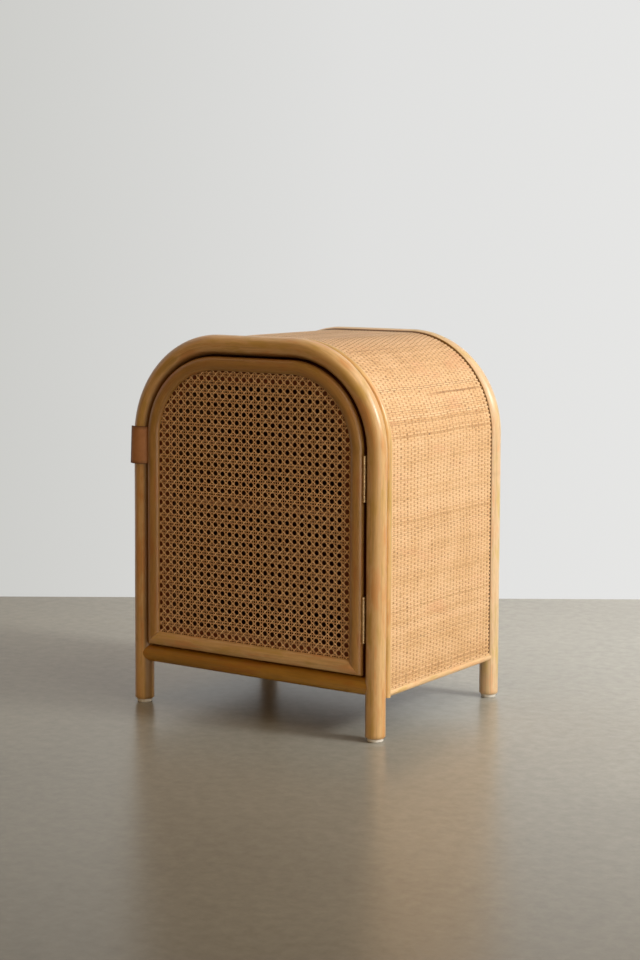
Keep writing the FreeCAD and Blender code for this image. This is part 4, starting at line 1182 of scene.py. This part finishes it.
bmesh.ops.spin(
    bm, geom=geometry, axis=(0, 0, 1), cent=(-LEG_X, -LEG_Y, 0), angle=-TAB_SWEEP,
    steps=TAB_STEPS,
)
bmesh.ops.remove_doubles(bm, verts=bm.verts, dist=1e-6)
bmesh.ops.recalc_face_normals(bm, faces=bm.faces)
sharp = [e for e in bm.edges if len(e.link_faces) == 2 and e.calc_face_angle() > SHARP]
bmesh.ops.bevel(
    bm, geom=sharp, offset=TAB_ROUNDING, segments=3, profile=0.5, affect="EDGES",
    material=-1,
)
mesh = mesh_from(bm, "tab")
points = points_of(mesh)
leg = np.array([-LEG_X, -LEG_Y])
from_leg = points[:, :2] - leg
up_tab = points[:, 2] - TAB_LOW
angle = -np.arctan2(from_leg[:, 1], from_leg[:, 0])
to_end = (TAB_SWEEP - angle) * (TAB_INNER + TAB_THICK) - END_ROUNDING
to_edge = np.minimum(up_tab, tall - up_tab)
burnished = np.clip(1.4 - np.minimum(to_edge, to_end) / BURNT_WIDTH, 0, 1)
# painted shade where the strap leaves the gap by the door
root_shade = 0.55 * np.clip(1 - angle / ROOT_SHADE_TO, 0, 1)
lean = TAB_LEAN * np.clip(angle / LEAN_FROM, 0, 1) * up_tab / tall
radius = np.hypot(*from_leg.T)
points[:, :2] = leg + from_leg * (1 - lean / radius)[:, None]
put(
    "tab", mesh, leather, "tab_leather", "pull_tab", body="door", points=points,
    # burnished edges, and painted shade where the strap leaves the gap
    edge=np.maximum(burnished, root_shade),
)

# %% [markdown]
# ## The CAD nodes that stay
# Rails, boards, hinges, screws, glides and the catch have the right shape
# already. Each keeps its node and gets a finish that suits it.

# %% Finishes for boards and fittings


def board_finish(name, pale, deep, along_axis, **constants):
    """Plain sanded wood with grain along one axis."""
    finish, tree, shader = new_finish(name, Roughness=0.6, **constants)
    where = object_place(tree)
    stretch = [5 if axis == along_axis else 75 for axis in range(3)]
    grain = noise(tree, where, stretch, 5, 0.65)
    fine = noise(tree, where, [s * 9 for s in stretch], 2, 0.5)
    colour = ramp(tree, grain, (0.3, deep), (0.68, pale))
    colour = mix(tree, between(tree, fine, 0.52, 0.75, 0.35), colour, times(deep, 0.55))
    paint(tree, shader, colour)
    bump(tree, shader, fine, 0.1 * MM)
    return finish


def metal_finish(name, bright, worn, roughness, scale):
    """Metal with cloudy tarnish."""
    finish, tree, shader = new_finish(name, Metallic=1.0, Roughness=roughness)
    cloud = noise(tree, object_place(tree), scale, 5, 0.65)
    paint(tree, shader, ramp(tree, cloud, (0.35, worn), (0.62, bright)))
    shine = spread(tree, cloud, roughness + 0.15, roughness - 0.08)
    paint(tree, shader, shine, "Roughness")
    bump(tree, shader, cloud, 0.04 * MM)
    return finish


def plastic_finish(name, colour, roughness):
    """Moulded plastic with a fine texture."""
    finish, tree, shader = new_finish(name, Roughness=roughness)
    grain = noise(tree, object_place(tree), 900, 2, 0.5)
    paint(tree, shader, ramp(tree, grain, (0.3, times(colour, 0.9)), (0.7, colour)))
    bump(tree, shader, grain, 0.05 * MM)
    return finish


# A very dark stain on the door frame, which is also painted shade for the frame seen
# through the cane.
frame_stain_and_shade = board_finish(
    "door_frame_stain_and_shade", (0.15, 0.045, 0.018), (0.10, 0.028, 0.011), 2,
    Specular_IOR_Level=0.15,
)
plywood = board_finish("board_plywood", (0.21, 0.09, 0.038), (0.14, 0.055, 0.022), 0)
cleat_wood = board_finish("cleat_wood", (0.26, 0.12, 0.05), (0.18, 0.08, 0.032), 1)
brass = metal_finish("aged_brass", (0.80, 0.62, 0.38), (0.5, 0.36, 0.2), 0.45, 260)
steel = metal_finish("plated_steel", (0.6, 0.6, 0.58), (0.42, 0.42, 0.41), 0.3, 300)
ferrite = metal_finish(
    "magnet_black", (0.08, 0.08, 0.085), (0.04, 0.04, 0.045), 0.6, 300
)
catch_plastic = plastic_finish("catch_plastic", (0.12, 0.065, 0.03), 0.45)
glide_plastic = plastic_finish("glide_plastic", (0.78, 0.76, 0.70), 0.4)

trim_y = pole_finish("trim_lacquered_side", (0.80, 0.55, 0.29), (0.70, 0.44, 0.2), 1)
trim_x = pole_finish("trim_lacquered_back", (0.66, 0.37, 0.12), (0.5, 0.25, 0.075), 0)

SIDES, ENDS = ("left", "right"), ("front", "back")
HINGE_PARTS = ("frame_leaf", "door_leaf", "pin")
FINISH_OF = {
    rail_x: ["front_rail", "back_rail"],
    cleat_wood: ["rail_dowels"]
    + [f"{side}_{part}" for side in SIDES for part in ("side_rail", "shelf_cleat")],
    trim_y: ["right_trim", "left_trim"],
    trim_x: ["back_sill"],
    plywood: ["back_board", "floor_board", "shelf"],
    frame_stain_and_shade: ["door_frame"],
    brass: [f"{end}_hinge_{part}" for end in ("upper", "lower") for part in HINGE_PARTS]
    + ["hinge_frame_screws", "hinge_door_screws", "tab_screws"],
    steel: [
        "glide_nails", "floor_board_screws", "cleat_screws", "catch_screws",
        "strike_plate", "strike_screw",
    ],
    ferrite: ["catch_magnet"],
    catch_plastic: ["catch_housing"],
    glide_plastic: [f"{end}_{side}_glide" for end in ENDS for side in SIDES],
}
shown = {name for name, node in nodes.items() if not node.hide_render}
for finish, names in FINISH_OF.items():
    for name in names:
        nodes[name].data.materials.clear()
        nodes[name].data.materials.append(finish)
        shown.discard(name)
print("CAD nodes shown without a new finish:", sorted(shown))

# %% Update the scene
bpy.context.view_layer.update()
